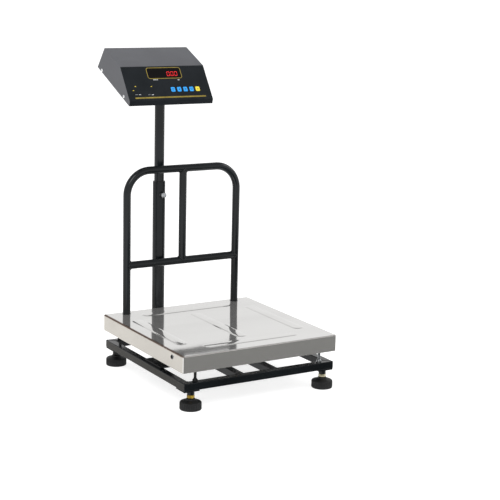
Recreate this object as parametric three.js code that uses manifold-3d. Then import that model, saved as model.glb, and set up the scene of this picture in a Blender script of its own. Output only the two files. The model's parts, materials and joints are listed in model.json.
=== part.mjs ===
// Animal weighing scale: a levelled steel base, a load cell, a stainless pan with a guard
// rail, and a telescopic post that carries a tilted indicator.
// Millimetres. X runs along the front edge, Y towards the post, Z up from the floor.
import * as THREE from 'three';
import { mergeVertices } from 'three/addons/utils/BufferGeometryUtils.js';
import Module from 'manifold-3d';

const wasm = await Module();
wasm.setup();

// ---- Driving dimensions -------------------------------------------------------------
const GAP = 0.3; // clearance between touching pieces
const TUBE = { size: 22, wall: 1.5, round: 2 }; // square tube of both frames
const BASE = { x: 488, y: 496, low: 55 };
const CROSS_X = 55; // centres of the two base cross tubes, each side of the middle
const PAN = { side: 500, top: 156, skirt: 48, sheet: 1.5, fold: 3 };
const BEAD = { width: 40, height: 2.5, slope: 4, long: 300, wide: 310, fromSide: 57.5, fromEnd: 62 };
const FOOT = { x: 216, y: 234, radius: 30.6, rim: 20, hub: 10, top: 30.5, bore: 7.7, chamfer: 2.5 };
const STEM = { radius: 5.95, low: 8, high: 66 };
const NUT = { acrossCorners: 22, low: 31.8, high: 40.7 };
const MOUNT = { boss: 10.5, low: 41, plate: 3, size: 48, edge: 1, cut: 16 };
const STOP = { x: 203, y: 234, radius: 3.9, nut: 7.5, head: 6.5, low: 60, travel: 0.6 };
const CELL = { length: 150, width: 40, end: 48, eye: 11, eyes: 28 };
const SPACER = { height: 3, inset: 3 };
const BASE_PLATE = { thick: 5, halfX: 236, y: [-92, 4] };
const TOP_PLATE = { thick: 4, halfX: 236, y: [18, 84] };
const GUARD = { y: 225, x: 186.5, radius: 11.5, wall: 1.5, cross: 304, top: 587, bend: 72.5 };
const POST = { x: -55, y: 275, radius: 19, wall: 2, top: 542 };
const MAST = { radius: 15, wall: 1.5, low: 320 };
const BUSH = { height: 40, floor: 4, radius: 16.6 };
const COLLAR = { depth: 27, flange: 18.4, rise: 2.6 };
const BRACKET = { halfX: 45, top: 104, shelf: 5, cheek: 5, back: 292 };
const LOCK = { z: 505, shank: 3.95, boss: 9, reach: 7, head: 8, thick: 8, stand: 1.5 };
const HEAD = { tilt: 24.1, width: 276, wall: 2, face: 3, pivotZ: 815 };
// Side outline of the indicator: distances in front of (-) or behind (+) the mast, heights
// above its bottom plane.
const OUTLINE = { backLow: [155, 0], backTop: [135, 74], ridge: [18, 74], lip: [-80, 14], toe: [-82, 0] };
const FASCIA = { thick: 1.2, pocket: 1.5, edge: 2 };
const WINDOW = { x: -1, y: -23.2, width: 108, height: 32, corner: 5 };
const KEY = { count: 5, first: 13.4, pitch: 20.6, y: -79.2, width: 13, height: 15, corner: 2.5 };
const KEY_DEPTH = { low: -6, high: 0.8 };
const BOARD = { width: 220, height: 92, top: -8, thick: 1.6, display: -3.4 };
const PLATE = { halfX: 55, y: [-48, 48], thick: 4 };
const ROCKER = { x: -75, up: 30, length: 17.4, width: 11.4, tilt: 9, crown: 1.6, deep: 4 };
const SOCKET = { x: -40, up: 30, radius: 5.5, flange: 8, cap: 5 };
const BATTERY = { halfX: 50, y: [60, 130], z: [2.5, 49] };

const LOOKS = {
  powder: { color: 0x2c2e2e, roughness: 0.45, metalness: 0.3 },
  stainless: { color: 0xc9c9c6, roughness: 0.18, metalness: 1.0 },
  zinc: { color: 0xb9b9b4, roughness: 0.35, metalness: 1.0 },
  brass: { color: 0xb49a3c, roughness: 0.35, metalness: 1.0 },
  aluminium: { color: 0xaeb2b5, roughness: 0.4, metalness: 1.0 },
  rubber: { color: 0x1b1c1c, roughness: 0.8, metalness: 0.0 },
  overlay: { color: 0x1f2429, roughness: 0.3, metalness: 0.0 },
  window: { color: 0x080606, roughness: 0.1, metalness: 0.0 },
  blue: { color: 0x2ba3f5, roughness: 0.4, metalness: 0.0 },
  yellow: { color: 0xf0dc3c, roughness: 0.4, metalness: 0.0 },
  board: { color: 0x1f5a34, roughness: 0.6, metalness: 0.0 },
};

// ---- Solids -------------------------------------------------------------------------
function toSolid(geometry) {
  const bare = geometry.clone();
  bare.deleteAttribute('normal');
  bare.deleteAttribute('uv');
  const merged = mergeVertices(bare, 1e-4);
  return new wasm.Manifold(new wasm.Mesh({
    numProp: 3,
    vertProperties: new Float32Array(merged.attributes.position.array),
    triVerts: new Uint32Array(merged.index.array),
  }));
}

function toGeometry(solid) {
  const { vertProperties, triVerts } = solid.getMesh();
  const geometry = new THREE.BufferGeometry();
  geometry.setAttribute('position', new THREE.BufferAttribute(vertProperties, 3));
  geometry.setIndex(new THREE.BufferAttribute(triVerts, 1));
  geometry.computeVertexNormals();
  return geometry;
}

function join(first, ...others) {
  return toGeometry(others.reduce((whole, part) => whole.add(toSolid(part)), toSolid(first)));
}

function cut(body, ...tools) {
  return toGeometry(tools.reduce((left, tool) => left.subtract(toSolid(tool)), toSolid(body)));
}

// A block given by its two ends along each axis.
function block([x0, x1], [y0, y1], [z0, z1]) {
  return new THREE.BoxGeometry(x1 - x0, y1 - y0, z1 - z0)
    .translate((x0 + x1) / 2, (y0 + y1) / 2, (z0 + z1) / 2);
}

// An upright round bar between two heights.
function bar(radius, low, high, sides = 24) {
  return new THREE.CylinderGeometry(radius, radius, high - low, sides)
    .rotateX(Math.PI / 2)
    .translate(0, 0, (low + high) / 2);
}

// A turned piece: [radius, height] points from the axis and back to it.
function turned(profile, sides = 24) {
  const points = profile.map(([radius, height]) => new THREE.Vector2(radius, height));
  return new THREE.LatheGeometry(points, sides).rotateX(Math.PI / 2);
}

// An upright ring: a turned piece whose profile closes on itself.
function ring(inner, outer, low, high, sides = 24) {
  return turned([[inner, low], [outer, low], [outer, high], [inner, high], [inner, low]], sides);
}

// A rectangle with round corners, centred on (x, y).
function roundedOutline(width, height, corner, x = 0, y = 0) {
  const right = x + width / 2 - corner;
  const left = x - width / 2 + corner;
  const top = y + height / 2 - corner;
  const bottom = y - height / 2 + corner;
  const shape = new THREE.Shape();
  shape.absarc(right, bottom, corner, -Math.PI / 2, 0);
  shape.absarc(right, top, corner, 0, Math.PI / 2);
  shape.absarc(left, top, corner, Math.PI / 2, Math.PI);
  shape.absarc(left, bottom, corner, Math.PI, Math.PI * 1.5);
  shape.closePath();
  return shape;
}

// An outline given a thickness between two heights.
function slab(shape, low, high, curveSegments = 2) {
  const options = { depth: high - low, bevelEnabled: false, curveSegments };
  return new THREE.ExtrudeGeometry(shape, options).translate(0, 0, low);
}

// A side outline of [y, z] points, made into a prism that is centred across X.
function prism(points, width) {
  const shape = new THREE.Shape(points.map(([y, z]) => new THREE.Vector2(y, z)));
  return new THREE.ExtrudeGeometry(shape, { depth: width, bevelEnabled: false })
    .applyMatrix4(new THREE.Matrix4().makeBasis(
      new THREE.Vector3(0, 1, 0), new THREE.Vector3(0, 0, 1), new THREE.Vector3(1, 0, 0)))
    .translate(-width / 2, 0, 0);
}

// The same outline with each edge moved inwards by its own distance (outwards if negative).
function inset(points, distances) {
  const edges = points.map(([y, z], i) => {
    const [nextY, nextZ] = points[(i + 1) % points.length];
    const length = Math.hypot(nextY - y, nextZ - z);
    const along = [(nextY - y) / length, (nextZ - z) / length];
    return { along, at: [y - along[1] * distances[i], z + along[0] * distances[i]] };
  });
  return edges.map((edge, i) => {
    const before = edges[(i + edges.length - 1) % edges.length];
    const cross = before.along[0] * edge.along[1] - before.along[1] * edge.along[0];
    const gapY = edge.at[0] - before.at[0];
    const gapZ = edge.at[1] - before.at[1];
    const step = (gapY * edge.along[1] - gapZ * edge.along[0]) / cross;
    return [before.at[0] + before.along[0] * step, before.at[1] + before.along[1] * step];
  });
}

// Square tube along X, centred; its inner corners are square and its ends are open.
function squareTube(length) {
  const half = TUBE.size / 2;
  const section = roundedOutline(TUBE.size, TUBE.size, TUBE.round);
  const hollow = half - TUBE.wall;
  section.holes.push(new THREE.Path([
    new THREE.Vector2(-hollow, -hollow), new THREE.Vector2(-hollow, hollow),
    new THREE.Vector2(hollow, hollow), new THREE.Vector2(hollow, -hollow),
  ]));
  return slab(section, -length / 2, length / 2).rotateY(Math.PI / 2).rotateX(Math.PI / 2);
}

// Square tube along X whose ends are mitred for a corner; its outer side faces +Y.
function mitredTube(length) {
  const tube = squareTube(length);
  const place = tube.attributes.position;
  for (let i = 0; i < place.count; i += 1) {
    const short = TUBE.size / 2 - place.getY(i) + GAP;
    place.setX(i, place.getX(i) - Math.sign(place.getX(i)) * short);
  }
  return tube;
}

// A curve through chosen stations, so that straight runs need no steps between their ends.
class StationCurve extends THREE.Curve {
  constructor(stations) {
    super();
    this.stations = stations;
  }

  at(u) {
    return this.stations[Math.round(u * (this.stations.length - 1))];
  }

  getPointAt(u) {
    return this.at(u).point.clone();
  }

  getTangentAt(u) {
    return this.at(u).tangent.clone();
  }
}

// ---- Assembly -----------------------------------------------------------------------
const scale = new THREE.Group();

function add(name, geometry, look, parent = scale) {
  const mesh = new THREE.Mesh(geometry, new THREE.MeshStandardMaterial(LOOKS[look]));
  mesh.name = name;
  parent.add(mesh);
  return mesh;
}

const CORNERS = [
  { name: 'front_left', x: -1, y: -1 },
  { name: 'front_right', x: 1, y: -1 },
  { name: 'rear_left', x: -1, y: 1 },
  { name: 'rear_right', x: 1, y: 1 },
];
const SIDES = [
  { name: 'rear', turn: 0, along: 'x', out: [0, 1] },
  { name: 'front', turn: Math.PI, along: 'x', out: [0, -1] },
  { name: 'left', turn: Math.PI / 2, along: 'y', out: [-1, 0] },
  { name: 'right', turn: -Math.PI / 2, along: 'y', out: [1, 0] },
];
const railTop = BASE.low + TUBE.size;
const ringLow = PAN.top - PAN.sheet - GAP - TUBE.size;

// Mitred frame of four tubes, each with its outer side on the frame's edge.
function addFrame(prefix, sizeX, sizeY, low, bores) {
  for (const side of SIDES) {
    const length = side.along === 'x' ? sizeX : sizeY;
    const across = (side.along === 'x' ? sizeY : sizeX) / 2 - TUBE.size / 2;
    const plain = mitredTube(length);
    const rail = side.along === 'x' && bores ? cut(plain, ...bores(across)) : plain;
    const mesh = add(`${prefix}_${side.name}`, rail, 'powder');
    mesh.position.set(side.out[0] * across, side.out[1] * across, low + TUBE.size / 2);
    mesh.rotation.z = side.turn;
  }
}

// Holes in the front and rear rails: feet from below, stop screws from above.
function railBores(across) {
  return [-1, 1].flatMap((end) => [
    bar(STEM.radius + GAP, -TUBE.size, 0).translate(end * FOOT.x, FOOT.y - across, 0),
    bar(STOP.radius + GAP, 0, TUBE.size).translate(end * STOP.x, STOP.y - across, 0),
  ]);
}

function addBase() {
  addFrame('base_rail', BASE.x, BASE.y, BASE.low, railBores);
  const length = BASE.y - 2 * (TUBE.size + GAP);
  for (const [name, x] of [['left', -CROSS_X], ['right', CROSS_X]]) {
    const tube = add(`base_cross_${name}`, squareTube(length), 'powder');
    tube.position.set(x, 0, BASE.low + TUBE.size / 2);
    tube.rotation.z = Math.PI / 2;
  }
  const { halfX, y, thick } = BASE_PLATE;
  add('cell_base_plate', block([-halfX, halfX], y, [railTop + GAP, railTop + GAP + thick]), 'powder');
}

// Corner plate with the foot's threaded boss under it, for the rear right corner.
function footMount() {
  const high = BASE.low - GAP;
  const right = BASE.x / 2 - MOUNT.edge;
  const back = BASE.y / 2 - MOUNT.edge;
  const left = right - MOUNT.size;
  const front = back - MOUNT.size;
  const outline = new THREE.Shape([
    new THREE.Vector2(left + MOUNT.cut, front), new THREE.Vector2(right, front),
    new THREE.Vector2(right, back), new THREE.Vector2(left, back),
    new THREE.Vector2(left, front + MOUNT.cut),
  ]);
  const plate = slab(outline, high - MOUNT.plate, high);
  const boss = bar(MOUNT.boss, MOUNT.low, high - MOUNT.plate + GAP).translate(FOOT.x, FOOT.y, 0);
  const bore = bar(STEM.radius + GAP, 0, BASE.low + 1).translate(FOOT.x, FOOT.y, 0);
  return cut(join(plate, boss), bore);
}

// Turn the rear right piece into the one for another corner.
function mirrored(geometry, corner) {
  const copy = geometry.clone().scale(corner.x, corner.y, 1);
  if (corner.x * corner.y > 0) return copy;
  const faces = copy.index.array;
  for (let i = 0; i < faces.length; i += 3) [faces[i], faces[i + 1]] = [faces[i + 1], faces[i]];
  copy.computeVertexNormals();
  return copy;
}

function footPad() {
  const { radius, rim, hub, top, bore, chamfer } = FOOT;
  const hole = STEM.radius + GAP;
  return turned([
    [0, 0], [radius - chamfer, 0], [radius, chamfer], [radius, rim], [radius - 2, rim + 2],
    [hub + 4, top - 3.5], [hub, top], [hole, top], [hole, bore], [0, bore],
  ], 24);
}

function lockNut() {
  const body = new THREE.CylinderGeometry(NUT.acrossCorners / 2, NUT.acrossCorners / 2, NUT.high - NUT.low, 6)
    .rotateX(Math.PI / 2)
    .translate(0, 0, (NUT.low + NUT.high) / 2);
  return cut(body, bar(STEM.radius + GAP, 0, BASE.low));
}

// Overload stop screw with its lock nut: the pan frame lands on it before the cell bends too far.
function stopScrew() {
  const seat = railTop + GAP;
  const high = ringLow - STOP.travel - GAP;
  return turned([
    [0, STOP.low], [STOP.radius, STOP.low], [STOP.radius, seat], [STOP.nut, seat], [STOP.nut, seat + 5],
    [STOP.radius, seat + 9], [STOP.radius, high - 6], [STOP.head, high - 6], [STOP.head, high], [0, high],
  ], 16);
}

function addFeet() {
  const mount = footMount();
  const nut = lockNut();
  const pad = footPad();
  const stop = stopScrew();
  for (const corner of CORNERS) {
    const x = corner.x * FOOT.x;
    const y = corner.y * FOOT.y;
    add(`foot_mount_${corner.name}`, mirrored(mount, corner), 'powder');
    add(`foot_lock_nut_${corner.name}`, nut.clone(), 'brass').position.set(x, y, 0);
    add(`foot_stem_${corner.name}`, bar(STEM.radius, STEM.low, STEM.high), 'zinc').position.set(x, y, 0);
    add(`foot_pad_${corner.name}`, pad.clone(), 'rubber').position.set(x, y, 0);
    const screw = add(`stop_screw_${corner.name}`, stop.clone(), 'zinc');
    screw.position.set(corner.x * STOP.x, corner.y * STOP.y, 0);
  }
}

// Single-point load cell: a bar with two round eyes and a slot between them.
function cellBar(low, high) {
  const middle = (low + high) / 2;
  const half = CELL.length / 2;
  const side = [[-half, low], [half, low], [half, high], [-half, high]];
  const eyes = [-1, 1].map((end) => new THREE.CylinderGeometry(CELL.eye, CELL.eye, CELL.width + 2, 20)
    .rotateZ(Math.PI / 2)
    .translate(0, (end * CELL.eyes) / 2, middle));
  const slot = block([-CELL.width, CELL.width], [-CELL.eyes / 2, CELL.eyes / 2], [middle - 4, middle + 4]);
  return cut(prism(side, CELL.width), ...eyes, slot);
}

function spacer(end, low) {
  const near = end * (CELL.length / 2 - SPACER.inset);
  const far = end * (CELL.length / 2 - CELL.end);
  const half = CELL.width / 2 - SPACER.inset;
  return block([-half, half], [Math.min(near, far), Math.max(near, far)], [low, low + SPACER.height]);
}

function addLoadCell() {
  const plateTop = railTop + GAP + BASE_PLATE.thick;
  const topPlateLow = ringLow - GAP - TOP_PLATE.thick;
  const upperLow = topPlateLow - GAP - SPACER.height;
  add('cell_lower_spacer', spacer(-1, plateTop + GAP), 'zinc');
  add('load_cell', cellBar(plateTop + 2 * GAP + SPACER.height, upperLow - GAP), 'aluminium');
  add('cell_upper_spacer', spacer(1, upperLow), 'zinc');
  const { halfX, y, thick } = TOP_PLATE;
  add('cell_top_plate', block([-halfX, halfX], y, [topPlateLow, topPlateLow + thick]), 'powder');
}

// A raised stiffening bead along Y with round ends and sloping sides.
function bead(length) {
  const radius = BEAD.width / 2;
  const spine = length / 2 - radius;
  const shape = new THREE.Shape();
  shape.absarc(0, -spine, radius, Math.PI, 2 * Math.PI);
  shape.absarc(0, spine, radius, 0, Math.PI);
  shape.closePath();
  const geometry = slab(shape, -PAN.sheet / 2, BEAD.height, 4);
  const place = geometry.attributes.position;
  for (let i = 0; i < place.count; i += 1) {
    if (place.getZ(i) < BEAD.height / 2) continue;
    const centre = THREE.MathUtils.clamp(place.getY(i), -spine, spine);
    const shrink = 1 - BEAD.slope / radius;
    place.setX(i, place.getX(i) * shrink);
    place.setY(i, centre + (place.getY(i) - centre) * shrink);
  }
  return geometry.translate(0, 0, PAN.top);
}

// Folded stainless tray, open below, with its stiffening beads pressed up.
function panSheet() {
  const half = PAN.side / 2;
  const inner = half - PAN.sheet;
  const low = PAN.top - PAN.skirt;
  const core = PAN.side - 2 * PAN.fold;
  const folded = new THREE.ExtrudeGeometry(roundedOutline(core, core, PAN.sheet), {
    depth: PAN.skirt,
    bevelThickness: PAN.fold,
    bevelSize: PAN.fold,
    bevelSegments: 2,
    curveSegments: 1,
  }).translate(0, 0, low - PAN.fold);
  const beads = [
    ...[-1, 0, 1].map((side) => bead(BEAD.long).translate(side * (half - BEAD.fromSide), 0, 0)),
    ...[-1, 1].map((end) => bead(BEAD.wide).rotateZ(Math.PI / 2).translate(0, end * (half - BEAD.fromEnd), 0)),
  ];
  const below = block([-half - 1, half + 1], [-half - 1, half + 1], [low - 2 * PAN.fold, low]);
  const hollow = block([-inner, inner], [-inner, inner], [low - 1, PAN.top - PAN.sheet]);
  return cut(join(folded, ...beads), below, hollow);
}

function addPlatform() {
  const size = PAN.side - 2 * (PAN.sheet + GAP);
  addFrame('pan_frame', size, size, ringLow);
  add('pan', panSheet(), 'stainless');
}

// Round tube of the guard rail, upright and centred.
function pipe(length, sides = 16) {
  return ring(GUARD.radius - GUARD.wall, GUARD.radius, -length / 2, length / 2, sides);
}

function hoop() {
  const { x, bend, top } = GUARD;
  const stations = [{ point: new THREE.Vector3(-x, 0, PAN.top + GAP), tangent: new THREE.Vector3(0, 0, 1) }];
  const steps = 5;
  for (const side of [-1, 1]) {
    for (let i = 0; i <= steps; i += 1) {
      const angle = ((side < 0 ? i : steps - i) / steps) * (Math.PI / 2);
      const point = new THREE.Vector3(
        side * (x - bend + bend * Math.cos(angle)), 0, top - bend + bend * Math.sin(angle));
      stations.push({ point, tangent: new THREE.Vector3(Math.sin(angle), 0, -side * Math.cos(angle)) });
    }
  }
  stations.push({ point: new THREE.Vector3(x, 0, PAN.top + GAP), tangent: new THREE.Vector3(0, 0, -1) });
  const section = new THREE.Shape().absarc(0, 0, GUARD.radius, 0, 2 * Math.PI);
  section.holes.push(new THREE.Path().absarc(0, 0, GUARD.radius - GUARD.wall, 0, 2 * Math.PI, true));
  return new THREE.ExtrudeGeometry(section, {
    steps: stations.length - 1,
    curveSegments: 8,
    bevelEnabled: false,
    extrudePath: new StationCurve(stations),
  });
}

function addGuard() {
  const { x, y, cross, top, radius } = GUARD;
  const shadow = radius + GAP; // a crossing tube with its clearance
  const leg = (side) => bar(shadow, PAN.top, top).translate(side * x, 0, 0);
  const level = (height) => bar(shadow, -x, x).rotateY(Math.PI / 2).translate(0, 0, height);
  const crossTube = pipe(2 * x).rotateY(Math.PI / 2).translate(0, 0, cross);
  const middle = pipe(top - cross).translate(0, 0, (top + cross) / 2);
  add('guard_hoop', hoop(), 'powder').position.y = y;
  add('guard_cross_tube', cut(crossTube, leg(-1), leg(1)), 'powder').position.y = y;
  add('guard_middle_tube', cut(middle, level(cross), level(top)), 'powder').position.y = y;
}

function bracket() {
  const face = BASE.y / 2 + GAP - POST.y; // the bracket's front, measured from the post's axis
  const plate = block([-BRACKET.halfX, BRACKET.halfX], [face, -POST.radius - GAP],
    [BASE.low - BRACKET.shelf, BRACKET.top]);
  const back = BRACKET.back - POST.y;
  const outer = POST.radius + GAP + BRACKET.cheek;
  const shelf = block([-outer, outer], [face, back], [BASE.low - BRACKET.shelf, BASE.low - GAP]);
  const cheek = (side) => block(side < 0 ? [-outer, -POST.radius - GAP] : [POST.radius + GAP, outer],
    [face, back], [BASE.low - BRACKET.shelf, BRACKET.top - 20]);
  return join(plate, shelf, cheek(-1), cheek(1));
}

// Lower post tube with the boss of its lock screw.
function postTube() {
  const tube = ring(POST.radius - POST.wall, POST.radius, BASE.low, POST.top);
  const across = (radius, from, to) => bar(radius, from, to).rotateX(Math.PI / 2).translate(0, 0, LOCK.z);
  const boss = across(LOCK.boss, POST.radius - 1.5, POST.radius + LOCK.reach);
  const bore = bar(POST.radius - POST.wall, BASE.low, POST.top);
  return cut(join(tube, boss), bore, across(LOCK.shank + GAP, 0, POST.radius + LOCK.reach + 1));
}

// Screw axis along -Y, out of the post's front.
function addLockScrew() {
  const post = new THREE.Group();
  post.position.set(POST.x, POST.y, LOCK.z);
  post.rotation.x = Math.PI / 2;
  scale.add(post);
  const seat = POST.radius + LOCK.reach + LOCK.stand;
  add('lock_screw_shank', bar(LOCK.shank, MAST.radius + GAP, seat + LOCK.thick - 3, 16), 'zinc', post);
  const hole = LOCK.shank + GAP;
  const inside = seat + LOCK.thick - 3 + GAP;
  const head = turned([
    [hole, seat], [LOCK.head - 1, seat], [LOCK.head, seat + 1], [LOCK.head, seat + LOCK.thick - 1],
    [LOCK.head - 1, seat + LOCK.thick], [0, seat + LOCK.thick], [0, inside], [hole, inside], [hole, seat],
  ], 24);
  add('lock_screw_head', head, 'zinc', post);
}

function addPost() {
  const post = new THREE.Group();
  post.position.set(POST.x, POST.y, 0);
  scale.add(post);
  add('post_bracket', bracket(), 'powder', post);
  add('post_tube', postTube(), 'powder', post);
  const bore = MAST.radius + GAP;
  const collar = turned([
    [bore, POST.top - COLLAR.depth], [BUSH.radius, POST.top - COLLAR.depth], [BUSH.radius, POST.top + GAP],
    [COLLAR.flange, POST.top + GAP], [COLLAR.flange, POST.top + COLLAR.rise],
    [bore, POST.top + COLLAR.rise], [bore, POST.top - COLLAR.depth],
  ]);
  add('post_collar', collar, 'rubber', post);
  const foot = MAST.low - GAP;
  const bush = turned([
    [0, foot - BUSH.floor], [BUSH.radius, foot - BUSH.floor], [BUSH.radius, foot + BUSH.height],
    [bore, foot + BUSH.height], [bore, foot], [0, foot],
  ]);
  add('mast_bush', bush, 'rubber', post);
}

// ---- Indicator ----------------------------------------------------------------------
const { backLow, backTop, ridge, lip, toe } = OUTLINE;
const sideOutline = [backLow, backTop, ridge, lip, toe];
const faceSlope = Math.atan2(ridge[1] - lip[1], ridge[0] - lip[0]);
const faceLength = Math.hypot(ridge[1] - lip[1], ridge[0] - lip[0]);
const backLean = Math.atan2(backTop[1] - backLow[1], backTop[0] - backLow[0]);

// The face's own frame: X across, Y up the slope from the ridge, Z out of the face.
const toFace = new THREE.Matrix4()
  .makeRotationX(faceSlope)
  .setPosition(0, ridge[0], ridge[1]);
// The back panel's own frame: X across, Y down the panel from its top, Z out of the panel.
const toBack = new THREE.Matrix4()
  .makeRotationX(backLean - Math.PI)
  .setPosition(0, backLow[0], backLow[1]);

const keyX = (index) => KEY.first + index * KEY.pitch;

function keyOutline(index, margin) {
  return roundedOutline(KEY.width + 2 * margin, KEY.height + 2 * margin, KEY.corner + margin, keyX(index), KEY.y);
}

function windowOutline(margin) {
  const { x, y, width, height, corner } = WINDOW;
  return roundedOutline(width + 2 * margin, height + 2 * margin, corner + margin, x, y);
}

// Openings of the face for the window and the keys, as bars through it.
function faceOpenings(margin) {
  const through = (shape) => slab(shape, -HEAD.face - 1, 1);
  const keys = Array.from({ length: KEY.count }, (_, index) => through(keyOutline(index, GAP)));
  return [through(windowOutline(margin)), ...keys];
}

function cover() {
  const shell = prism(sideOutline, HEAD.width);
  const { wall, face } = HEAD;
  const room = prism(inset(sideOutline, [-2, wall, face, wall, -2]), HEAD.width - 2 * wall);
  const pocketX = HEAD.width / 2 - FASCIA.edge;
  const pocket = block([-pocketX, pocketX], [FASCIA.edge - faceLength, -FASCIA.edge], [-FASCIA.pocket, 5]);
  const tools = [pocket, ...faceOpenings(-2)].map((tool) => tool.applyMatrix4(toFace));
  return cut(shell, room, ...tools);
}

function tray() {
  const { wall } = HEAD;
  const half = HEAD.width / 2 - wall - GAP;
  const loose = wall + GAP;
  const outside = inset(sideOutline, [0, loose, loose + 1, loose, 0]);
  const inside = inset(sideOutline, [wall, -2, -2, -2, wall]);
  const shell = cut(prism(outside, 2 * half), prism(inside, 2 * (half - wall)));
  const rim = 14;
  const above = block([-half - 1, half + 1], [toe[0] - 10, backTop[0] - 8], [rim, ridge[1] + 10]);
  const front = block([-half - 1, half + 1], [toe[0] - 10, toe[0] + 12], [wall, ridge[1]]);
  const rocker = block([-ROCKER.width / 2 - 0.6, ROCKER.width / 2 + 0.6],
    [-ROCKER.length / 2 - 0.9, ROCKER.length / 2 + 0.9], [-8, 8]).translate(ROCKER.x, -ROCKER.up, 0);
  const socket = bar(SOCKET.radius + GAP, -8, 8, 16).translate(SOCKET.x, -SOCKET.up, 0);
  return cut(shell, above, front, rocker.applyMatrix4(toBack), socket.applyMatrix4(toBack));
}

function fascia() {
  const half = HEAD.width / 2 - FASCIA.edge - GAP;
  const edge = FASCIA.edge + GAP;
  const plate = block([-half, half], [edge - faceLength, -edge], [-FASCIA.thick, 0]);
  return cut(plate, ...faceOpenings(GAP));
}

function circuitBoard() {
  const middle = -faceLength / 2 - 2;
  const { width, height, top, thick, display } = BOARD;
  const board = block([-width / 2, width / 2], [middle - height / 2, middle + height / 2], [top - thick, top]);
  const digits = block([WINDOW.x - 48, WINDOW.x + 48], [WINDOW.y - 13, WINDOW.y + 13], [top - 0.5, display]);
  return join(board, digits);
}

function rockerCap() {
  const half = ROCKER.length / 2;
  const { crown, deep, width, tilt } = ROCKER;
  return prism([[-half, -deep], [half, -deep], [half, crown], [0, crown / 2], [-half, crown]], width)
    .rotateX(THREE.MathUtils.degToRad(tilt));
}

// Charger socket behind its closed rubber dust cap.
function chargerSocket() {
  const { radius, flange, cap } = SOCKET;
  return turned([
    [0, -12], [radius, -12], [radius, GAP], [flange, GAP], [flange, 1.8], [cap, 2.4], [cap, 4], [0, 4],
  ], 16);
}

// Mast tube, sawn off at the indicator's tilt under its mounting plate.
function mastTube() {
  const tube = ring(MAST.radius - MAST.wall, MAST.radius, MAST.low, HEAD.pivotZ + 40);
  const saw = block([-60, 60], [-60, 60], [-PLATE.thick - 2 * GAP, 100])
    .rotateX(THREE.MathUtils.degToRad(HEAD.tilt))
    .translate(0, 0, HEAD.pivotZ);
  return cut(tube, saw);
}

function addIndicator() {
  const mast = new THREE.Group();
  mast.position.set(POST.x, POST.y, 0);
  scale.add(mast);
  add('mast_tube', mastTube(), 'powder', mast);

  const head = new THREE.Group();
  head.position.z = HEAD.pivotZ;
  head.rotation.x = THREE.MathUtils.degToRad(HEAD.tilt);
  mast.add(head);
  const { halfX, y, thick } = PLATE;
  add('head_plate', block([-halfX, halfX], y, [-thick - GAP, -GAP]), 'powder', head);
  add('housing_cover', cover(), 'powder', head);
  add('housing_tray', tray(), 'powder', head);
  add('battery', block([-BATTERY.halfX, BATTERY.halfX], BATTERY.y, BATTERY.z), 'rubber', head);

  const face = new THREE.Group();
  face.applyMatrix4(toFace);
  head.add(face);
  add('fascia', fascia(), 'overlay', face);
  add('display_window', slab(windowOutline(0), -FASCIA.thick, 0), 'window', face);
  add('circuit_board', circuitBoard(), 'board', face);
  for (let index = 0; index < KEY.count; index += 1) {
    const look = index === KEY.count - 1 ? 'yellow' : 'blue';
    add(`key_${index + 1}`, slab(keyOutline(index, 0), KEY_DEPTH.low, KEY_DEPTH.high), look, face);
  }

  const back = new THREE.Group();
  back.applyMatrix4(toBack);
  head.add(back);
  add('power_rocker', rockerCap(), 'rubber', back).position.set(ROCKER.x, -ROCKER.up, 0);
  add('charger_socket', chargerSocket(), 'rubber', back).position.set(SOCKET.x, -SOCKET.up, 0);
}

addBase();
addFeet();
addLoadCell();
addPlatform();
addGuard();
addPost();
addLockScrew();
addIndicator();

// The origin is the middle of the whole scale's footprint, on the floor.
scale.updateMatrixWorld(true);
const extent = new THREE.Box3().setFromObject(scale, true);
scale.position.set(-(extent.min.x + extent.max.x) / 2, -(extent.min.y + extent.max.y) / 2, -extent.min.z);

export default scale;
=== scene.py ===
"""A platform scale for weighing animals: steel base, stainless pan, guard rail, post and indicator."""

import json
import logging
import math
from dataclasses import dataclass
from enum import Enum
from typing import Callable, Dict, Optional, Sequence, Tuple

import bmesh
import bpy
from mathutils import Matrix, Vector

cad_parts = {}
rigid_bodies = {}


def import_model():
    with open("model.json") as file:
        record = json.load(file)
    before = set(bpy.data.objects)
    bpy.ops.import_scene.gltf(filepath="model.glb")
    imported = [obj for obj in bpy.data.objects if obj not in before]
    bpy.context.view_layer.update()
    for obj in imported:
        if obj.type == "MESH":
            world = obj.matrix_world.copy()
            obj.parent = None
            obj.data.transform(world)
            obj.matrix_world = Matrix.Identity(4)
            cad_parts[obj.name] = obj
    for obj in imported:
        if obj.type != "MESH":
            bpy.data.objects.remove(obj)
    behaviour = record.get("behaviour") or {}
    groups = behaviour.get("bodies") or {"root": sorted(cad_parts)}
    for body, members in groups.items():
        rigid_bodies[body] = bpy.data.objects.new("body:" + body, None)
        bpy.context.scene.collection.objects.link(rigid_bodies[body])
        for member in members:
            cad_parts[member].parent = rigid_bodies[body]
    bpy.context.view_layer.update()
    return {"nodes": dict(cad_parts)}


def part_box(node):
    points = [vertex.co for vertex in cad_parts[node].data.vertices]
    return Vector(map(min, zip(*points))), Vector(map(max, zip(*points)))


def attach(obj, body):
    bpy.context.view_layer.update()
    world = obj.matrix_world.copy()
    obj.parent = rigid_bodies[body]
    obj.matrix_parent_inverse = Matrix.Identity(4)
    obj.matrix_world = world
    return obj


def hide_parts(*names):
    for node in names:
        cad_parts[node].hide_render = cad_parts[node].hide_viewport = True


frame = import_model()
MM = 0.001
MERGE = 0.00001
CAD_MERGE = 0.00002
FLAT_TURN = math.radians(1)
Point = Tuple[float, float, float]
Station = Tuple[float, float]
Test = Callable[[object], bool]
log = logging.getLogger("scale")


class Pick(Enum):
    """What an edit works on."""

    VERT = "VERT"
    EDGE = "EDGE"
    FACE = "FACE"


# ---------------------------------------------------------------- small tools


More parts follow.
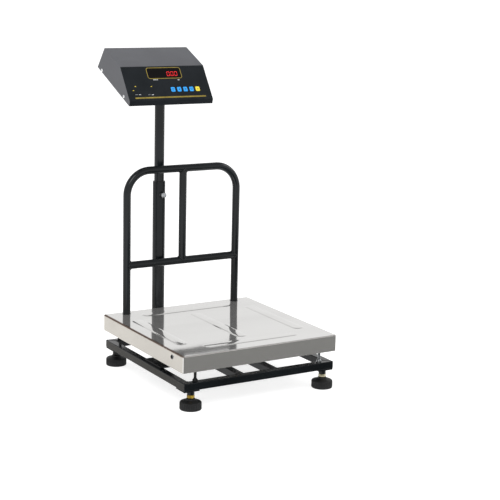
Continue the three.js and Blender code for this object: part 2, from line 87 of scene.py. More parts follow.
def linear(code: str) -> Tuple[float, float, float, float]:
    """Turns an sRGB hex colour into linear light.

    Args:
        code: The colour as "#rrggbb".

    Returns:
        Red, green, blue and alpha.
    """
    parts = [int(code[i:i + 2], 16) / 255 for i in (1, 3, 5)]
    red, green, blue = (c / 12.92 if c <= 0.04045 else ((c + 0.055) / 1.055) ** 2.4 for c in parts)
    return red, green, blue, 1.0


def mm(x: float, y: float, z: float) -> Vector:
    """Gives a point in metres from millimetres."""
    return Vector((x, y, z)) * MM


def box_mm(node: str) -> Tuple[Vector, Vector]:
    """Gives a CAD node's lowest and highest corners in millimetres."""
    low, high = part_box(node)
    return Vector(low) / MM, Vector(high) / MM


def middle_mm(node: str) -> Vector:
    """Gives the middle of a CAD node's box in millimetres."""
    low, high = box_mm(node)
    return (low + high) / 2


def only(thing: bpy.types.Object) -> None:
    """Selects one object and nothing else.

    Args:
        thing: The object that operators then act on.
    """
    if bpy.context.object and bpy.context.object.mode != "OBJECT":
        bpy.ops.object.mode_set(mode="OBJECT")
    bpy.ops.object.select_all(action="DESELECT")
    thing.select_set(True)
    bpy.context.view_layer.objects.active = thing


def clear() -> None:
    """Deselects everything before a primitive is added."""
    if bpy.context.object and bpy.context.object.mode != "OBJECT":
        bpy.ops.object.mode_set(mode="OBJECT")
    bpy.ops.object.select_all(action="DESELECT")


def settle(name: str) -> bpy.types.Object:
    """Names the active object and puts its place into its mesh.

    Args:
        name: The piece's name.

    Returns:
        The object, at the origin, unturned and unscaled.
    """
    thing = bpy.context.object
    thing.name = name
    thing.data.name = name
    bpy.ops.object.transform_apply(location=True, rotation=True, scale=True)
    return thing


def open_edit(thing: bpy.types.Object, pick: Pick, test: Test) -> None:
    """Opens edit mode with only the elements that pass a test selected.

    Args:
        thing: The object to edit.
        pick: Vertices, edges or faces.
        test: Says whether an element is selected.
    """
    only(thing)
    bpy.ops.object.mode_set(mode="EDIT")
    bpy.ops.mesh.select_mode(type=pick.value)
    bpy.ops.mesh.select_all(action="DESELECT")
    mesh = bmesh.from_edit_mesh(thing.data)
    group = {Pick.VERT: mesh.verts, Pick.EDGE: mesh.edges, Pick.FACE: mesh.faces}[pick]
    for item in filter(test, group):
        item.select_set(True)
    mesh.select_flush_mode()
    bmesh.update_edit_mesh(thing.data)


def close_edit() -> None:
    """Goes back to object mode."""
    bpy.ops.object.mode_set(mode="OBJECT")


def put_right(thing: bpy.types.Object) -> bpy.types.Object:
    """Merges doubled points and points every face outwards.

    Args:
        thing: The object to mend.

    Returns:
        The same object.
    """
    only(thing)
    bpy.ops.object.mode_set(mode="EDIT")
    bpy.ops.mesh.select_all(action="SELECT")
    bpy.ops.mesh.remove_doubles(threshold=MERGE)
    bpy.ops.mesh.normals_make_consistent(inside=False)
    close_edit()
    return thing


def apply_modifier(thing: bpy.types.Object, kind: str, **settings: object) -> bpy.types.Object:
    """Adds a modifier with its settings and applies it.

    Args:
        thing: The object to change.
        kind: The modifier's type.
        **settings: The modifier's own values.

    Returns:
        The same object.
    """
    only(thing)
    modifier = thing.modifiers.new(kind.title(), kind)
    for key, value in settings.items():
        setattr(modifier, key, value)
    bpy.ops.object.modifier_apply(modifier=modifier.name)
    return thing


def soften(thing: bpy.types.Object, width: float, segments: int = 3, angle: float = 35) -> bpy.types.Object:
    """Rounds the sharp edges and keeps the flats flat.

    Args:
        thing: The object to round.
        width: The rounding in mm.
        segments: How many steps the rounding has.
        angle: The least turn in degrees that counts as an edge.

    Returns:
        The same object.
    """
    only(thing)
    bpy.ops.object.shade_smooth()
    return apply_modifier(
        thing, "BEVEL", width=width * MM, segments=segments, limit_method="ANGLE",
        angle_limit=math.radians(angle), harden_normals=True, miter_outer="MITER_ARC")


def smooth(thing: bpy.types.Object, angle: float = 40) -> bpy.types.Object:
    """Shades smooth across turns gentler than an angle.

    Args:
        thing: The object to shade.
        angle: The limit in degrees.

    Returns:
        The same object.
    """
    only(thing)
    bpy.ops.object.shade_smooth_by_angle(angle=math.radians(angle))
    return thing


def block(name: str, low: Sequence[float], high: Sequence[float], edge: float = 0,
          steps: int = 3) -> bpy.types.Object:
    """Makes a rounded block between two corners.

    Args:
        name: The piece's name.
        low: The lowest corner in mm.
        high: The highest corner in mm.
        edge: The rounding in mm, or 0 for sharp edges.
        steps: The rounding's steps.

    Returns:
        The block.
    """
    clear()
    low, high = Vector(low), Vector(high)
    bpy.ops.mesh.primitive_cube_add(size=1, location=(low + high) / 2 * MM)
    bpy.context.object.scale = (high - low) * MM
    thing = settle(name)
    return soften(thing, edge, steps) if edge else thing


def turned(name: str, stations: Sequence[Station], place: Matrix, sides: int = 64) -> bpy.types.Object:
    """Makes a round shape by extruding a disc up through its stations.

    Args:
        name: The piece's name.
        stations: Radius and height in mm at each step, from the bottom face to the top face.
        place: Carries the shape's own axes, with Z up its axis, to the frame, in mm.
        sides: How many sides the round has.

    Returns:
        The closed shape.
    """
    clear()
    radius, height = stations[0]
    bpy.ops.mesh.primitive_circle_add(
        vertices=sides, radius=radius * MM, fill_type="NGON", location=(0, 0, height * MM))
    thing = settle(name)
    bpy.ops.object.mode_set(mode="EDIT")
    bpy.ops.mesh.select_mode(type="FACE")
    bpy.ops.mesh.select_all(action="SELECT")
    for next_radius, next_height in stations[1:]:
        bpy.ops.mesh.extrude_region_move(
            TRANSFORM_OT_translate={"value": (0, 0, (next_height - height) * MM)})
        ratio = next_radius / radius
        bpy.ops.transform.resize(value=(ratio, ratio, 1), center_override=(0, 0, next_height * MM))
        radius, height = next_radius, next_height
    close_edit()
    put_right(thing)
    move(thing, place)
    return smooth(thing, 32)


def move(thing: bpy.types.Object, place: Matrix) -> bpy.types.Object:
    """Carries a shape to its place and puts the place into its mesh.

    Args:
        thing: The shape, at the origin.
        place: The move, with its distance in mm.

    Returns:
        The same object.
    """
    only(thing)
    in_metres = place.copy()
    in_metres.translation = place.translation * MM
    thing.matrix_world = in_metres
    bpy.ops.object.transform_apply(location=True, rotation=True, scale=True)
    return thing


def at(x: float, y: float, z: float) -> Matrix:
    """Gives a plain shift in mm."""
    return Matrix.Translation((x, y, z))


def spokes(count: int) -> Sequence[Vector]:
    """Gives level directions spread evenly round a turn."""
    turns = (2 * math.pi * index / count for index in range(count))
    return [Vector((math.cos(turn), math.sin(turn), 0)) for turn in turns]


def along(direction: Vector, origin: Vector) -> Matrix:
    """Gives the move that turns Z to a direction and sets the origin, in mm."""
    turn = Vector((0, 0, 1)).rotation_difference(direction).to_matrix().to_4x4()
    return Matrix.Translation(origin) @ turn


def copy_of(thing: bpy.types.Object, name: str, place: Matrix) -> bpy.types.Object:
    """Copies a shape with a mesh of its own.

    Args:
        thing: The shape to copy.
        name: The copy's name.
        place: The copy's move from the first one, in mm.

    Returns:
        The copy.
    """
    only(thing)
    bpy.ops.object.duplicate(linked=False)
    twin = bpy.context.object
    twin.name = name
    twin.data.name = name
    return move(twin, place)


def joined(name: str, things: Sequence[bpy.types.Object]) -> bpy.types.Object:
    """Joins shapes into one object.

    Args:
        name: The piece's name.
        things: The shapes.

    Returns:
        The one object.
    """
    only(things[0])
    for thing in things:
        thing.select_set(True)
    bpy.ops.object.join()
    whole = bpy.context.object
    whole.name = name
    whole.data.name = name
    return whole


def refined(node: str, name: str, edge: float, steps: int = 2, angle: float = 35) -> bpy.types.Object:
    """Copies a CAD node, merges its triangles and rounds its edges.

    Args:
        node: The CAD node.
        name: The piece's name.
        edge: The rounding in mm.
        steps: The rounding's steps.
        angle: The least turn in degrees that counts as an edge.

    Returns:
        The rounded copy.
    """
    only(frame["nodes"][node])
    bpy.ops.object.duplicate(linked=False)
    twin = bpy.context.object
    twin.name = name
    twin.data.name = name
    twin.data.materials.clear()
    bpy.ops.object.parent_clear(type="CLEAR_KEEP_TRANSFORM")
    bpy.ops.object.transform_apply(location=True, rotation=True, scale=True)
    bpy.ops.object.mode_set(mode="EDIT")
    bpy.ops.mesh.select_all(action="SELECT")
    bpy.ops.mesh.customdata_custom_splitnormals_clear()
    bpy.ops.mesh.remove_doubles(threshold=CAD_MERGE)
    bpy.ops.mesh.dissolve_limited(angle_limit=FLAT_TURN)
    close_edit()
    return soften(twin, edge, steps, angle) if edge else smooth(twin, angle)


def weld_line(name: str, points: Sequence[Vector], thick: float, ring: bool = True) -> bpy.types.Object:
    """Lays a rounded weld bead along points.

    Args:
        name: The piece's name.
        points: The bead's middle line in mm.
        thick: The bead's radius in mm.
        ring: Whether the line closes on itself.

    Returns:
        The bead.
    """
    clear()
    bpy.ops.mesh.primitive_circle_add(vertices=len(points), radius=1)
    thing = settle(name)
    for vertex, point in zip(thing.data.vertices, points):
        vertex.co = point * MM
    if not ring:
        open_edit(thing, Pick.EDGE, lambda e: {v.index for v in e.verts} == {0, len(points) - 1})
        bpy.ops.mesh.delete(type="EDGE_FACE")
        close_edit()
    only(thing)
    bpy.ops.object.convert(target="CURVE")
    curve = bpy.context.object.data
    curve.bevel_depth = thick * MM
    curve.bevel_resolution = 2
    curve.use_fill_caps = not ring
    for index, point in enumerate(curve.splines[0].points):
        point.radius = 1 + 0.16 * math.sin(index * 1.9) + 0.1 * math.sin(index * 0.83)
    bpy.ops.object.convert(target="MESH")
    thing = bpy.context.object
    thing.name = name
    thing.data.name = name
    put_right(thing)
    return smooth(thing, 60)


# ---------------------------------------------------------------- finishes


def add(tree: bpy.types.NodeTree, kind: str, settings: Dict[object, object],
        links: Optional[Dict[object, object]] = None) -> bpy.types.Node:
    """Adds a shader node with its settings and links.

    Args:
        tree: The material's node tree.
        kind: The node's type.
        settings: Properties by name, and input values by socket name or number.
        links: Input socket name or number to the output that feeds it.

    Returns:
        The node.
    """
    item = tree.nodes.new(kind)
    for key, value in settings.items():
        if isinstance(key, str) and hasattr(item, key):
            setattr(item, key, value)
        else:
            item.inputs[key].default_value = value
    for key, source in (links or {}).items():
        tree.links.new(source, item.inputs[key])
    return item


def ramp(tree: bpy.types.NodeTree, source: object, stops: Sequence[Tuple[float, str]]) -> object:
    """Turns a value into a colour by stops.

    Args:
        tree: The material's node tree.
        source: The output that gives the value.
        stops: Places from 0 to 1, with their hex colours.

    Returns:
        The colour output.
    """
    item = add(tree, "ShaderNodeValToRGB", {}, {0: source})
    points = item.color_ramp.elements
    while len(points) < len(stops):
        points.new(0.5)
    for point, (place, code) in zip(points, stops):
        point.position = place
        point.color = linear(code)
    return item.outputs[0]


def grain(tree: bpy.types.NodeTree, size: float, detail: float = 2,
          stretch: Point = (1, 1, 1)) -> object:
    """Makes noise at a real size on Object coordinates.

    Args:
        tree: The material's node tree.
        size: The size of one lump in mm.
        detail: How many finer layers there are.
        stretch: How much finer the noise is along each axis.

    Returns:
        The noise value output.
    """
    place = add(tree, "ShaderNodeTexCoord", {}).outputs["Object"]
    turned_place = add(tree, "ShaderNodeMapping", {"Scale": stretch}, {"Vector": place}).outputs[0]
    return add(tree, "ShaderNodeTexNoise", {"Scale": 1 / (size * MM), "Detail": detail},
               {"Vector": turned_place}).outputs[0]


def scaled(tree: bpy.types.NodeTree, source: object, low: float, high: float) -> object:
    """Spreads noise between two values.

    Args:
        tree: The material's node tree.
        source: The noise output.
        low: The value where the noise is low.
        high: The value where it is high.

    Returns:
        The value output.
    """
    return add(tree, "ShaderNodeMapRange",
               {"From Min": 0.3, "From Max": 0.7, "To Min": low, "To Max": high},
               {"Value": source}).outputs[0]


def sum_of(tree: bpy.types.NodeTree, operation: str, *values: object, clamp: bool = False) -> object:
    """Works out one sum on values in the shader.

    Args:
        tree: The material's node tree.
        operation: The sum's kind.
        *values: Numbers, or outputs that give them.
        clamp: Whether the result is kept between 0 and 1.

    Returns:
        The result's output.
    """
    numbers = {index: value for index, value in enumerate(values) if isinstance(value, float)}
    sources = {index: value for index, value in enumerate(values) if not isinstance(value, float)}
    settings = {"operation": operation, "use_clamp": clamp, **numbers}
    return add(tree, "ShaderNodeMath", settings, sources).outputs[0]


@dataclass(frozen=True)
class Finish:
    """A finish whose colour and gloss drift a little over a fine relief."""

    name: str
    low: str
    high: str
    roughness: Tuple[float, float]
    metallic: float = 0.0
    ior: float = 1.5
    patch: float = 60.0
    relief: float = 1.2
    depth: float = 0.02
    stretch: Point = (1.0, 1.0, 1.0)
    specular: float = 0.5
    glow: float = 0.0
    sway: float = 0.0

    def build(self) -> bpy.types.Material:
        """Builds the material once and gives it again after that.

        Returns:
            The material.
        """
        made = bpy.data.materials.get(self.name)
        if made:
            return made
        made = bpy.data.materials.new(self.name)
        made.use_nodes = True
        tree = made.node_tree
        shader = tree.nodes["Principled BSDF"]
        shader.inputs["Metallic"].default_value = self.metallic
        if not self.metallic:
            shader.inputs["IOR"].default_value = self.ior
        shader.inputs["Specular IOR Level"].default_value = self.specular
        patches = grain(tree, self.patch, 3, self.stretch)
        tree.links.new(self.colour(tree, patches), shader.inputs["Base Color"])
        tree.links.new(scaled(tree, patches, *self.roughness), shader.inputs["Roughness"])
        fine = grain(tree, self.relief, 2, self.stretch)
        bump = add(tree, "ShaderNodeBump", {"Strength": 1.0, "Distance": self.depth * MM}, {"Height": fine})
        if self.sway:
            wide = add(tree, "ShaderNodeBump", {"Strength": 1.0, "Distance": self.sway * MM},
                       {"Height": grain(tree, 150, 0)}).outputs[0]
            tree.links.new(wide, bump.inputs["Normal"])
        tree.links.new(bump.outputs[0], shader.inputs["Normal"])
        if self.glow:
            shader.inputs["Emission Color"].default_value = linear(self.high)
            shader.inputs["Emission Strength"].default_value = self.glow
        return made

    def colour(self, tree: bpy.types.NodeTree, patches: object) -> object:
        """Gives the colour that drifts between the two.

        Args:
            tree: The material's node tree.
            patches: The wide noise.

        Returns:
            The colour output.
        """
        return ramp(tree, patches, ((0.3, self.low), (0.7, self.high)))


@dataclass(frozen=True)
class PressedStainless(Finish):
    """Polished stainless sheet, with a painted dark-brown reflection along its left and front folds."""

    # colour of the painted dark reflection in the folds
    fold_reflection: str = "#4a3322"
    side_reach: float = 6.5
    front_reach: float = 1.6
    front_strength: float = 0.28
    below_top: float = 2.5
    top_reach: float = 4.6

    def colour(self, tree: bpy.types.NodeTree, patches: object) -> object:
        """Gives bare steel with a painted dark-brown reflection along the left and front folds.

        Args:
            tree: The material's node tree.
            patches: The wide noise.

        Returns:
            The colour output.
        """
        steel = super().colour(tree, patches)
        low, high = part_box("pan")
        place = add(tree, "ShaderNodeTexCoord", {}).outputs["Object"]
        parts = add(tree, "ShaderNodeSeparateXYZ", {}, {0: place}).outputs
        ragged = grain(tree, 9, 3)
        # the painted fold reflection is strongest at the rear left and fades towards the front
        back = add(tree, "ShaderNodeMapRange",
                   {"From Min": low.y, "From Max": high.y, "To Min": 0.0, "To Max": 1.0},
                   {"Value": parts[1]}).outputs[0]
        side = self.band(tree, parts[0], low.x, self.side_reach * MM)
        front = self.band(tree, parts[1], low.y, self.front_reach * MM)
        top = self.band(tree, parts[2], high.z - self.below_top * MM, self.top_reach * MM)
        reflection_fade = sum_of(tree, "MULTIPLY_ADD", back, 0.5, 0.75)
        left = sum_of(tree, "MULTIPLY", side, reflection_fade)
        near = sum_of(tree, "MULTIPLY", front, self.front_strength)
        edge = sum_of(tree, "MULTIPLY", sum_of(tree, "MAXIMUM", left, near), top)
        mask = sum_of(tree, "MULTIPLY", edge, scaled(tree, ragged, 0.8, 1.5), clamp=True)
        return add(tree, "ShaderNodeMix", {"data_type": "RGBA", "blend_type": "MIX", 7: linear(self.fold_reflection)},
                   {0: mask, 6: steel}).outputs[2]

    def band(self, tree: bpy.types.NodeTree, value: object, centre: float, width: float) -> object:
        """Gives 1 at a place along an axis and 0 beyond a width from it.

        Args:
            tree: The material's node tree.
            value: The place along the axis.
            centre: Where the band is, in metres.
            width: How far it reaches, in metres.

        Returns:
            The band's strength.
        """
        away = sum_of(tree, "ABSOLUTE", sum_of(tree, "SUBTRACT", value, centre))
        return add(tree, "ShaderNodeMapRange",
                   {"From Min": width * 0.5, "From Max": width, "To Min": 1.0, "To Max": 0.0},
                   {"Value": away}).outputs[0]


# black powder coat over mild steel: satin, with a fine orange peel that breaks up the highlights
POWDER = Finish("black_powder_coat", "#0d1012", "#13171a", (0.13, 0.2),
                relief=1.6, depth=0.016, patch=90, specular=0.26)
# textured grey powder coat on bent sheet: a fine matt grain with soft highlights
HOUSING = Finish("grey_textured_powder_coat", "#4e4f53", "#56575b", (0.46, 0.56),
                 relief=1.4, depth=0.09, patch=70, specular=0.28)
# polished stainless: mirror-like, with faint drawing lines and hand marks, and a painted dark reflection
# along the left and front folds
STAINLESS = PressedStainless("polished_stainless_sheet", "#cfcecc", "#d8d7d5", (0.05, 0.09), metallic=0.8,
                             patch=130, relief=1.0, depth=0.002, stretch=(0.12, 1.0, 1.0), sway=1.2)
# bright zinc plating: silvery with a slight cloud
ZINC = Finish("bright_zinc_plating", "#8f9295", "#bfc2c4", (0.2, 0.34), metallic=1.0,
              patch=12, relief=0.8, depth=0.01)
# the housing's screws: zinc painted pale, nearly white, as a painted highlight of the light on them
SCREW_ZINC_HIGHLIGHT = Finish("screw_zinc_painted_highlight", "#d9dbdc", "#eeefef", (0.34, 0.46), metallic=0.6,
                    patch=6, relief=0.8, depth=0.008)
# yellow chromate over zinc: brassy with a faint rainbow drift
YELLOW_ZINC = Finish("yellow_zinc_plating", "#5a4517", "#c9ab45", (0.26, 0.4), metallic=1.0,
                     patch=8, relief=0.8, depth=0.01)
# yellow chromate painted pale, mostly silver with some yellow left: a painted highlight for the front-right
# lock nut
YELLOW_ZINC_HIGHLIGHT = Finish("yellow_zinc_painted_highlight", "#5f5a48", "#c9c2a6", (0.26, 0.4), metallic=1.0,
                   patch=7, relief=0.8, depth=0.01)
# machined aluminium: light and slightly brushed
ALUMINIUM = Finish("machined_aluminium", "#b8babb", "#c8caca", (0.3, 0.42), metallic=1.0, patch=30,
                   relief=0.7, depth=0.006, stretch=(1.0, 0.08, 1.0))
# moulded nylon of the feet: matt black with a light grain
NYLON = Finish("moulded_black_nylon", "#0f1011", "#161718", (0.5, 0.62),
               relief=1.0, depth=0.03, patch=20, specular=0.3)
# moulded ABS: smooth black with a low gloss
ABS = Finish("moulded_black_abs", "#151617", "#1b1c1d", (0.34, 0.42), relief=0.9, depth=0.012, patch=25)
# printed polyester film over the face: dark, with a fine matt emboss
FILM = Finish("printed_face_film", "#13171a", "#191d21", (0.38, 0.46),
              relief=0.8, depth=0.012, patch=60, specular=0.12)
# smoked acrylic: black and glossy
ACRYLIC = Finish("smoked_acrylic", "#040303", "#070505", (0.06, 0.1), ior=1.49,
                 relief=20, depth=0.002, patch=40, specular=0.22)
# inks printed on the film, with a slight mottle
GOLD_INK = Finish("gold_ink", "#76661a", "#8c7a26", (0.42, 0.5), relief=0.8, depth=0.008, patch=12)
WHITE_INK = Finish("white_ink", "#b9bcbe", "#d2d4d5", (0.5, 0.6), relief=0.8, depth=0.008, patch=8)
YELLOW_INK = Finish("yellow_ink", "#e6cc2c", "#f2da3c", (0.5, 0.6), relief=0.8, depth=0.008, patch=8)
# coloured film stretched over the keys
BLUE_KEY = Finish("blue_key_film", "#1e90dd", "#2ba1f0", (0.36, 0.44), relief=0.9, depth=0.012, patch=9)
YELLOW_KEY = Finish("yellow_key_film", "#e3cc2f", "#efdc45", (0.36, 0.44), relief=0.9, depth=0.012, patch=9)
# the signs on the keys
DARK_INK = Finish("dark_ink", "#10253a", "#173249", (0.45, 0.55), relief=0.8, depth=0.006, patch=8)
# lit seven-segment digits in the window
LIT = Finish("lit_red_segment", "#b01218", "#d8161c", (0.4, 0.5), relief=2, depth=0.002, patch=5, glow=0.9)
# green lacquer of the circuit board
SOLDER_MASK = Finish("green_solder_mask", "#0e3d22", "#14502d", (0.3, 0.4),
                     relief=1.5, depth=0.01, patch=15)
# the studio's bright paper floor, and the two cards that the skirt mirrors
FLOOR = Finish("pale_floor", "#c6c6c6", "#c9c9c9", (0.75, 0.85),
               relief=6, depth=0.01, patch=900, glow=1.3)
CARD = Finish("grey_card", "#4c4c48", "#52524e", (0.85, 0.95),
              relief=6, depth=0.01, patch=500, specular=0.0)
CREAM_CARD = Finish("cream_card", "#cdc9c2", "#d2cec7", (0.85, 0.95),
                    relief=6, depth=0.01, patch=500, specular=0.0, glow=0.42)

SLOT_FINISH = {
    "frame_powder_coat": POWDER, "indicator_powder_coat": HOUSING, "stainless_sheet": STAINLESS,
    "zinc_plated_steel": ZINC, "yellow_zinc_nut": YELLOW_ZINC, "cell_aluminium": ALUMINIUM,
    "foot_plastic": NYLON, "black_plastic": ABS, "fascia_film": FILM, "window_acrylic": ACRYLIC,
    "key_blue": BLUE_KEY, "key_yellow": YELLOW_KEY, "circuit_board": SOLDER_MASK,
}


def dress(piece: bpy.types.Object, finish: Finish, body: str, slot: str,
          *stands_for: str) -> bpy.types.Object:
    """Gives a piece its finish and its body, and hides the CAD nodes that it stands for.

    Args:
        piece: The new piece.
        finish: Its material.
        body: The body that carries it.
        slot: The record's material slot; not used.
        *stands_for: CAD nodes that it replaces.

    Returns:
        The piece.
    """
    piece.data.materials.clear()
    piece.data.materials.append(finish.build())
    for face in piece.data.polygons:
        face.material_index = 0
    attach(piece, body)
    if stands_for:
        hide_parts(*stands_for)
    log.info("%s: %d faces on %s", piece.name, len(piece.data.polygons), body)
    return piece


def dress_nodes() -> None:
    """Gives every CAD node the finish of its slot."""
    for name, node in frame["nodes"].items():
        for holder in node.material_slots:
            slot = holder.material.name.split(".")[0] if holder.material else ""
            holder.material = SLOT_FINISH.get(slot, POWDER).build()
        log.info("%s: finish given", name)


# ---------------------------------------------------------------- base and feet

CORNERS = ("front_left", "front_right", "rear_left", "rear_right")


@dataclass
class BaseFrame:
    """The welded base of square tube with its boss plates and load cell plate."""

    tube: float = 22.0
    edge: float = 2.0
    weld: float = 1.7
    mitre_weld: float = 1.3
    mitre_start: float = 1.5
    mitre_sink: float = 0.6
    weld_steps: int = 9
    gap: float = 0.3

    def build(self) -> None:
        """Makes the ring, the cross tubes, the welds and the plates."""
        low, high = box_mm("base_rail_left")
        outer_low = Vector((low.x, box_mm("base_rail_front")[0].y, low.z))
        outer_high = Vector((box_mm("base_rail_right")[1].x, box_mm("base_rail_rear")[1].y, high.z))
        ring = self.ring("base_ring", outer_low, outer_high)
        dress(ring, POWDER, "base", "frame_powder_coat",
              "base_rail_left", "base_rail_right", "base_rail_front", "base_rail_rear")
        for side in ("left", "right"):
            low, high = box_mm(f"base_cross_{side}")
            reach = Vector((0, self.gap, 0))
            cross = block(f"base_cross_bar_{side}", low - reach, high + reach, self.edge)
            dress(cross, POWDER, "base", "frame_powder_coat", f"base_cross_{side}")
            self.cross_welds(side, low, high)
        self.corner_welds(outer_low, outer_high)
        for node, edge in (("cell_base_plate", 0.8), ("post_bracket", 0.9)):
            plate = refined(node, node + "_rounded", edge)
            dress(plate, POWDER, "base", "frame_powder_coat", node)

    def ring(self, name: str, low: Vector, high: Vector) -> bpy.types.Object:
        """Makes a closed ring of square tube.

        Args:
            name: The piece's name.
            low: The lowest outer corner in mm.
            high: The highest outer corner in mm.

        Returns:
            The ring.
        """
        thing = block(name, low, high)
        open_edit(thing, Pick.FACE, lambda f: abs(f.normal.z) > 0.9)
        bpy.ops.mesh.inset(thickness=self.tube * MM)
        bpy.ops.mesh.bridge_edge_loops()
        close_edit()
        put_right(thing)
        return soften(thing, self.edge, 3)

    def corner_welds(self, low: Vector, high: Vector) -> None:
        """Lays the dressed welds over the four mitres.

        Args:
            low: The ring's lowest corner in mm.
            high: The ring's highest corner in mm.
        """
        step = (self.tube - self.mitre_start) / self.weld_steps
        distances = [self.mitre_start + step * index for index in range(self.weld_steps + 1)]
        beads = []
        for x, dx in ((low.x, 1), (high.x, -1)):
            for y, dy in ((low.y, 1), (high.y, -1)):
                for z in (low.z + self.mitre_sink, high.z - self.mitre_sink):
                    points = [Vector((x + dx * away, y + dy * away, z)) for away in distances]
                    beads.append(weld_line("mitre", points, self.mitre_weld, ring=False))
        dress(joined("base_mitre_welds", beads), POWDER, "base", "frame_powder_coat")

    def cross_welds(self, side: str, low: Vector, high: Vector) -> None:
        """Lays a weld round each end of a cross tube.

        Args:
            side: Which cross tube.
            low: Its lowest corner in mm.
            high: Its highest corner in mm.
        """
        rise = (high.z - low.z - 2) / self.weld_steps
        beads = []
        for y in (low.y, high.y):
            for x in (low.x, high.x):
                points = [Vector((x, y, low.z + 1 + rise * index)) for index in range(self.weld_steps + 1)]
                beads.append(weld_line("fillet", points, self.weld, ring=False))
        dress(joined(f"base_cross_weld_{side}", beads), POWDER, "base", "frame_powder_coat")


@dataclass
class Foot:
    """A levelling foot: a fluted pad on a threaded stem, its lock nut and the boss that it screws into."""

    flutes: int = 30
    flute_depth: float = 2.0
    flute_low: float = 3.0
    flute_high: float = 22.5
    sides: int = 180
    thread_pitch: float = 1.75
    across: float = 22.0
    weld_below: float = 3.4
    boss_weld_reach: float = 10.9

    def build(self) -> None:
        """Makes one foot and copies it to the four corners."""
        first = middle_mm("foot_stem_front_left")
        pad = self.pad(first)
        nut = self.nut(first)
        stem = self.stem(first)
        boss = self.boss(first)
        for corner in CORNERS:
            shift = middle_mm(f"foot_stem_{corner}") - first
            place = at(shift.x, shift.y, 0)
            pieces = [copy_of(thing, f"{label}_{corner}", place)
                      for thing, label in ((pad, "foot_tread"), (nut, "foot_nut"), (stem, "foot_thread"))]
            dress(pieces[0], NYLON, f"foot_pad_{corner}", "foot_plastic", f"foot_pad_{corner}")
            # the front-right nut takes the pale zinc as a painted highlight; the rear-left nut takes black
            # powder coat as painted shade
            nut_finish_with_painted_light = {"front_right": YELLOW_ZINC_HIGHLIGHT, "rear_left": POWDER}.get(corner, YELLOW_ZINC)
            dress(pieces[1], nut_finish_with_painted_light, "base", "yellow_zinc_nut", f"foot_lock_nut_{corner}")
            dress(pieces[2], ZINC, f"foot_stem_{corner}", "zinc_plated_steel", f"foot_stem_{corner}")
            mount = copy_of(boss, f"foot_boss_{corner}", place)
            plate = refined(f"foot_mount_{corner}", f"foot_plate_{corner}", 0.6)
            dress(plate, POWDER, "base", "frame_powder_coat", f"foot_mount_{corner}")
            dress(mount, POWDER, "base", "frame_powder_coat")
        for thing in (pad, nut, stem, boss):
            bpy.data.objects.remove(thing)

    def pad(self, centre: Vector) -> bpy.types.Object:
        """Makes the fluted pad.

        Args:
            centre: The stem's middle in mm.

        Returns:
            The pad.
        """
        low, high = box_mm("foot_pad_front_left")
        radius = (high.x - low.x) / 2
        sole = [(radius - 3.4, 0.0), (radius - 0.8, 0.5)]
        wall = [(radius, height) for height in (2.4, 4.2, 12.0, 18.6)]
        shoulder = [(radius - 0.6, 20.4), (radius - 2.3, 21.9), (radius - 6.0, 23.0), (radius - 11.0, 24.4)]
        neck = [(radius - 15.8, 25.9), (radius - 17.2, 27.0), (radius - 17.8, 29.4), (radius - 18.8, 30.3),
                (7.8, 30.5)]
        thing = turned("pad_pattern", sole + wall + shoulder + neck, at(centre.x, centre.y, 0), self.sides)
        for vertex in thing.data.vertices:
            x, y, z = vertex.co / MM
            if self.flute_low < z < self.flute_high:
                angle = math.atan2(y - centre.y, x - centre.x)
                wave = 0.5 - 0.5 * math.cos(self.flutes * angle)
                depth = self.flute_depth * wave ** 1.5 * min(1, (self.flute_high - z) / 3)
                away = math.hypot(x - centre.x, y - centre.y)
                vertex.co.x -= depth * (x - centre.x) / away * MM
                vertex.co.y -= depth * (y - centre.y) / away * MM
        return smooth(thing, 50)

    def nut(self, centre: Vector) -> bpy.types.Object:
        """Makes the hexagonal lock nut.

        Args:
            centre: The stem's middle in mm.

        Returns:
            The nut.
        """
        low, high = box_mm("foot_lock_nut_front_left")
        radius = self.across / 2
        clear()
        bpy.ops.mesh.primitive_cylinder_add(vertices=6, radius=radius * MM, depth=(high.z - low.z) * MM)
        thing = settle("nut_pattern")
        open_edit(thing, Pick.FACE, lambda f: abs(f.normal.z) > 0.9)
        bpy.ops.mesh.inset(thickness=1.4 * MM)
        close_edit()
        soften(thing, 0.9, 3, 30)
        return move(thing, at(centre.x, centre.y, (low.z + high.z) / 2))

    def stem(self, centre: Vector) -> bpy.types.Object:
        """Makes the threaded stem from rings as close as its pitch.

        Args:
            centre: The stem's middle in mm.

        Returns:
            The stem.
        """
        low, high = box_mm("foot_stem_front_left")
        place = at(centre.x, centre.y, 0)
        return threaded("stem_pattern", (high.x - low.x) / 2, low.z, high.z, self.thread_pitch, place)

    def boss(self, centre: Vector) -> bpy.types.Object:
        """Makes the weld that joins the boss to its plate.

        Args:
            centre: The stem's middle in mm.

        Returns:
            The weld.
        """
        height = box_mm("foot_mount_front_left")[1].z - self.weld_below
        points = [Vector((centre.x, centre.y, height)) + self.boss_weld_reach * spoke for spoke in spokes(40)]
        return weld_line("boss_pattern", points, 1.3)


def threaded(name: str, radius: float, low: float, high: float, pitch: float,
             place: Matrix) -> bpy.types.Object:
    """Makes a threaded rod whose crests are a pitch apart.

    Args:
        name: The piece's name.
        radius: The crest's radius in mm.
        low: The lower end's height in mm.
        high: The upper end's height in mm.
        pitch: The thread's pitch in mm.
        place: Carries the rod to its place.

    Returns:
        The rod.
    """
    depth = pitch * 0.5
    stations = [(radius - depth, low), (radius, low + depth)]
    count = int((high - low - 2 * depth) / pitch)
    for index in range(count):
        base = low + depth + index * pitch
        stations += [(radius, base + 0.15 * pitch), (radius - depth, base + 0.5 * pitch),
                     (radius, base + 0.92 * pitch)]
    stations.append((radius - depth, high))
    return turned(name, stations, place, 28)


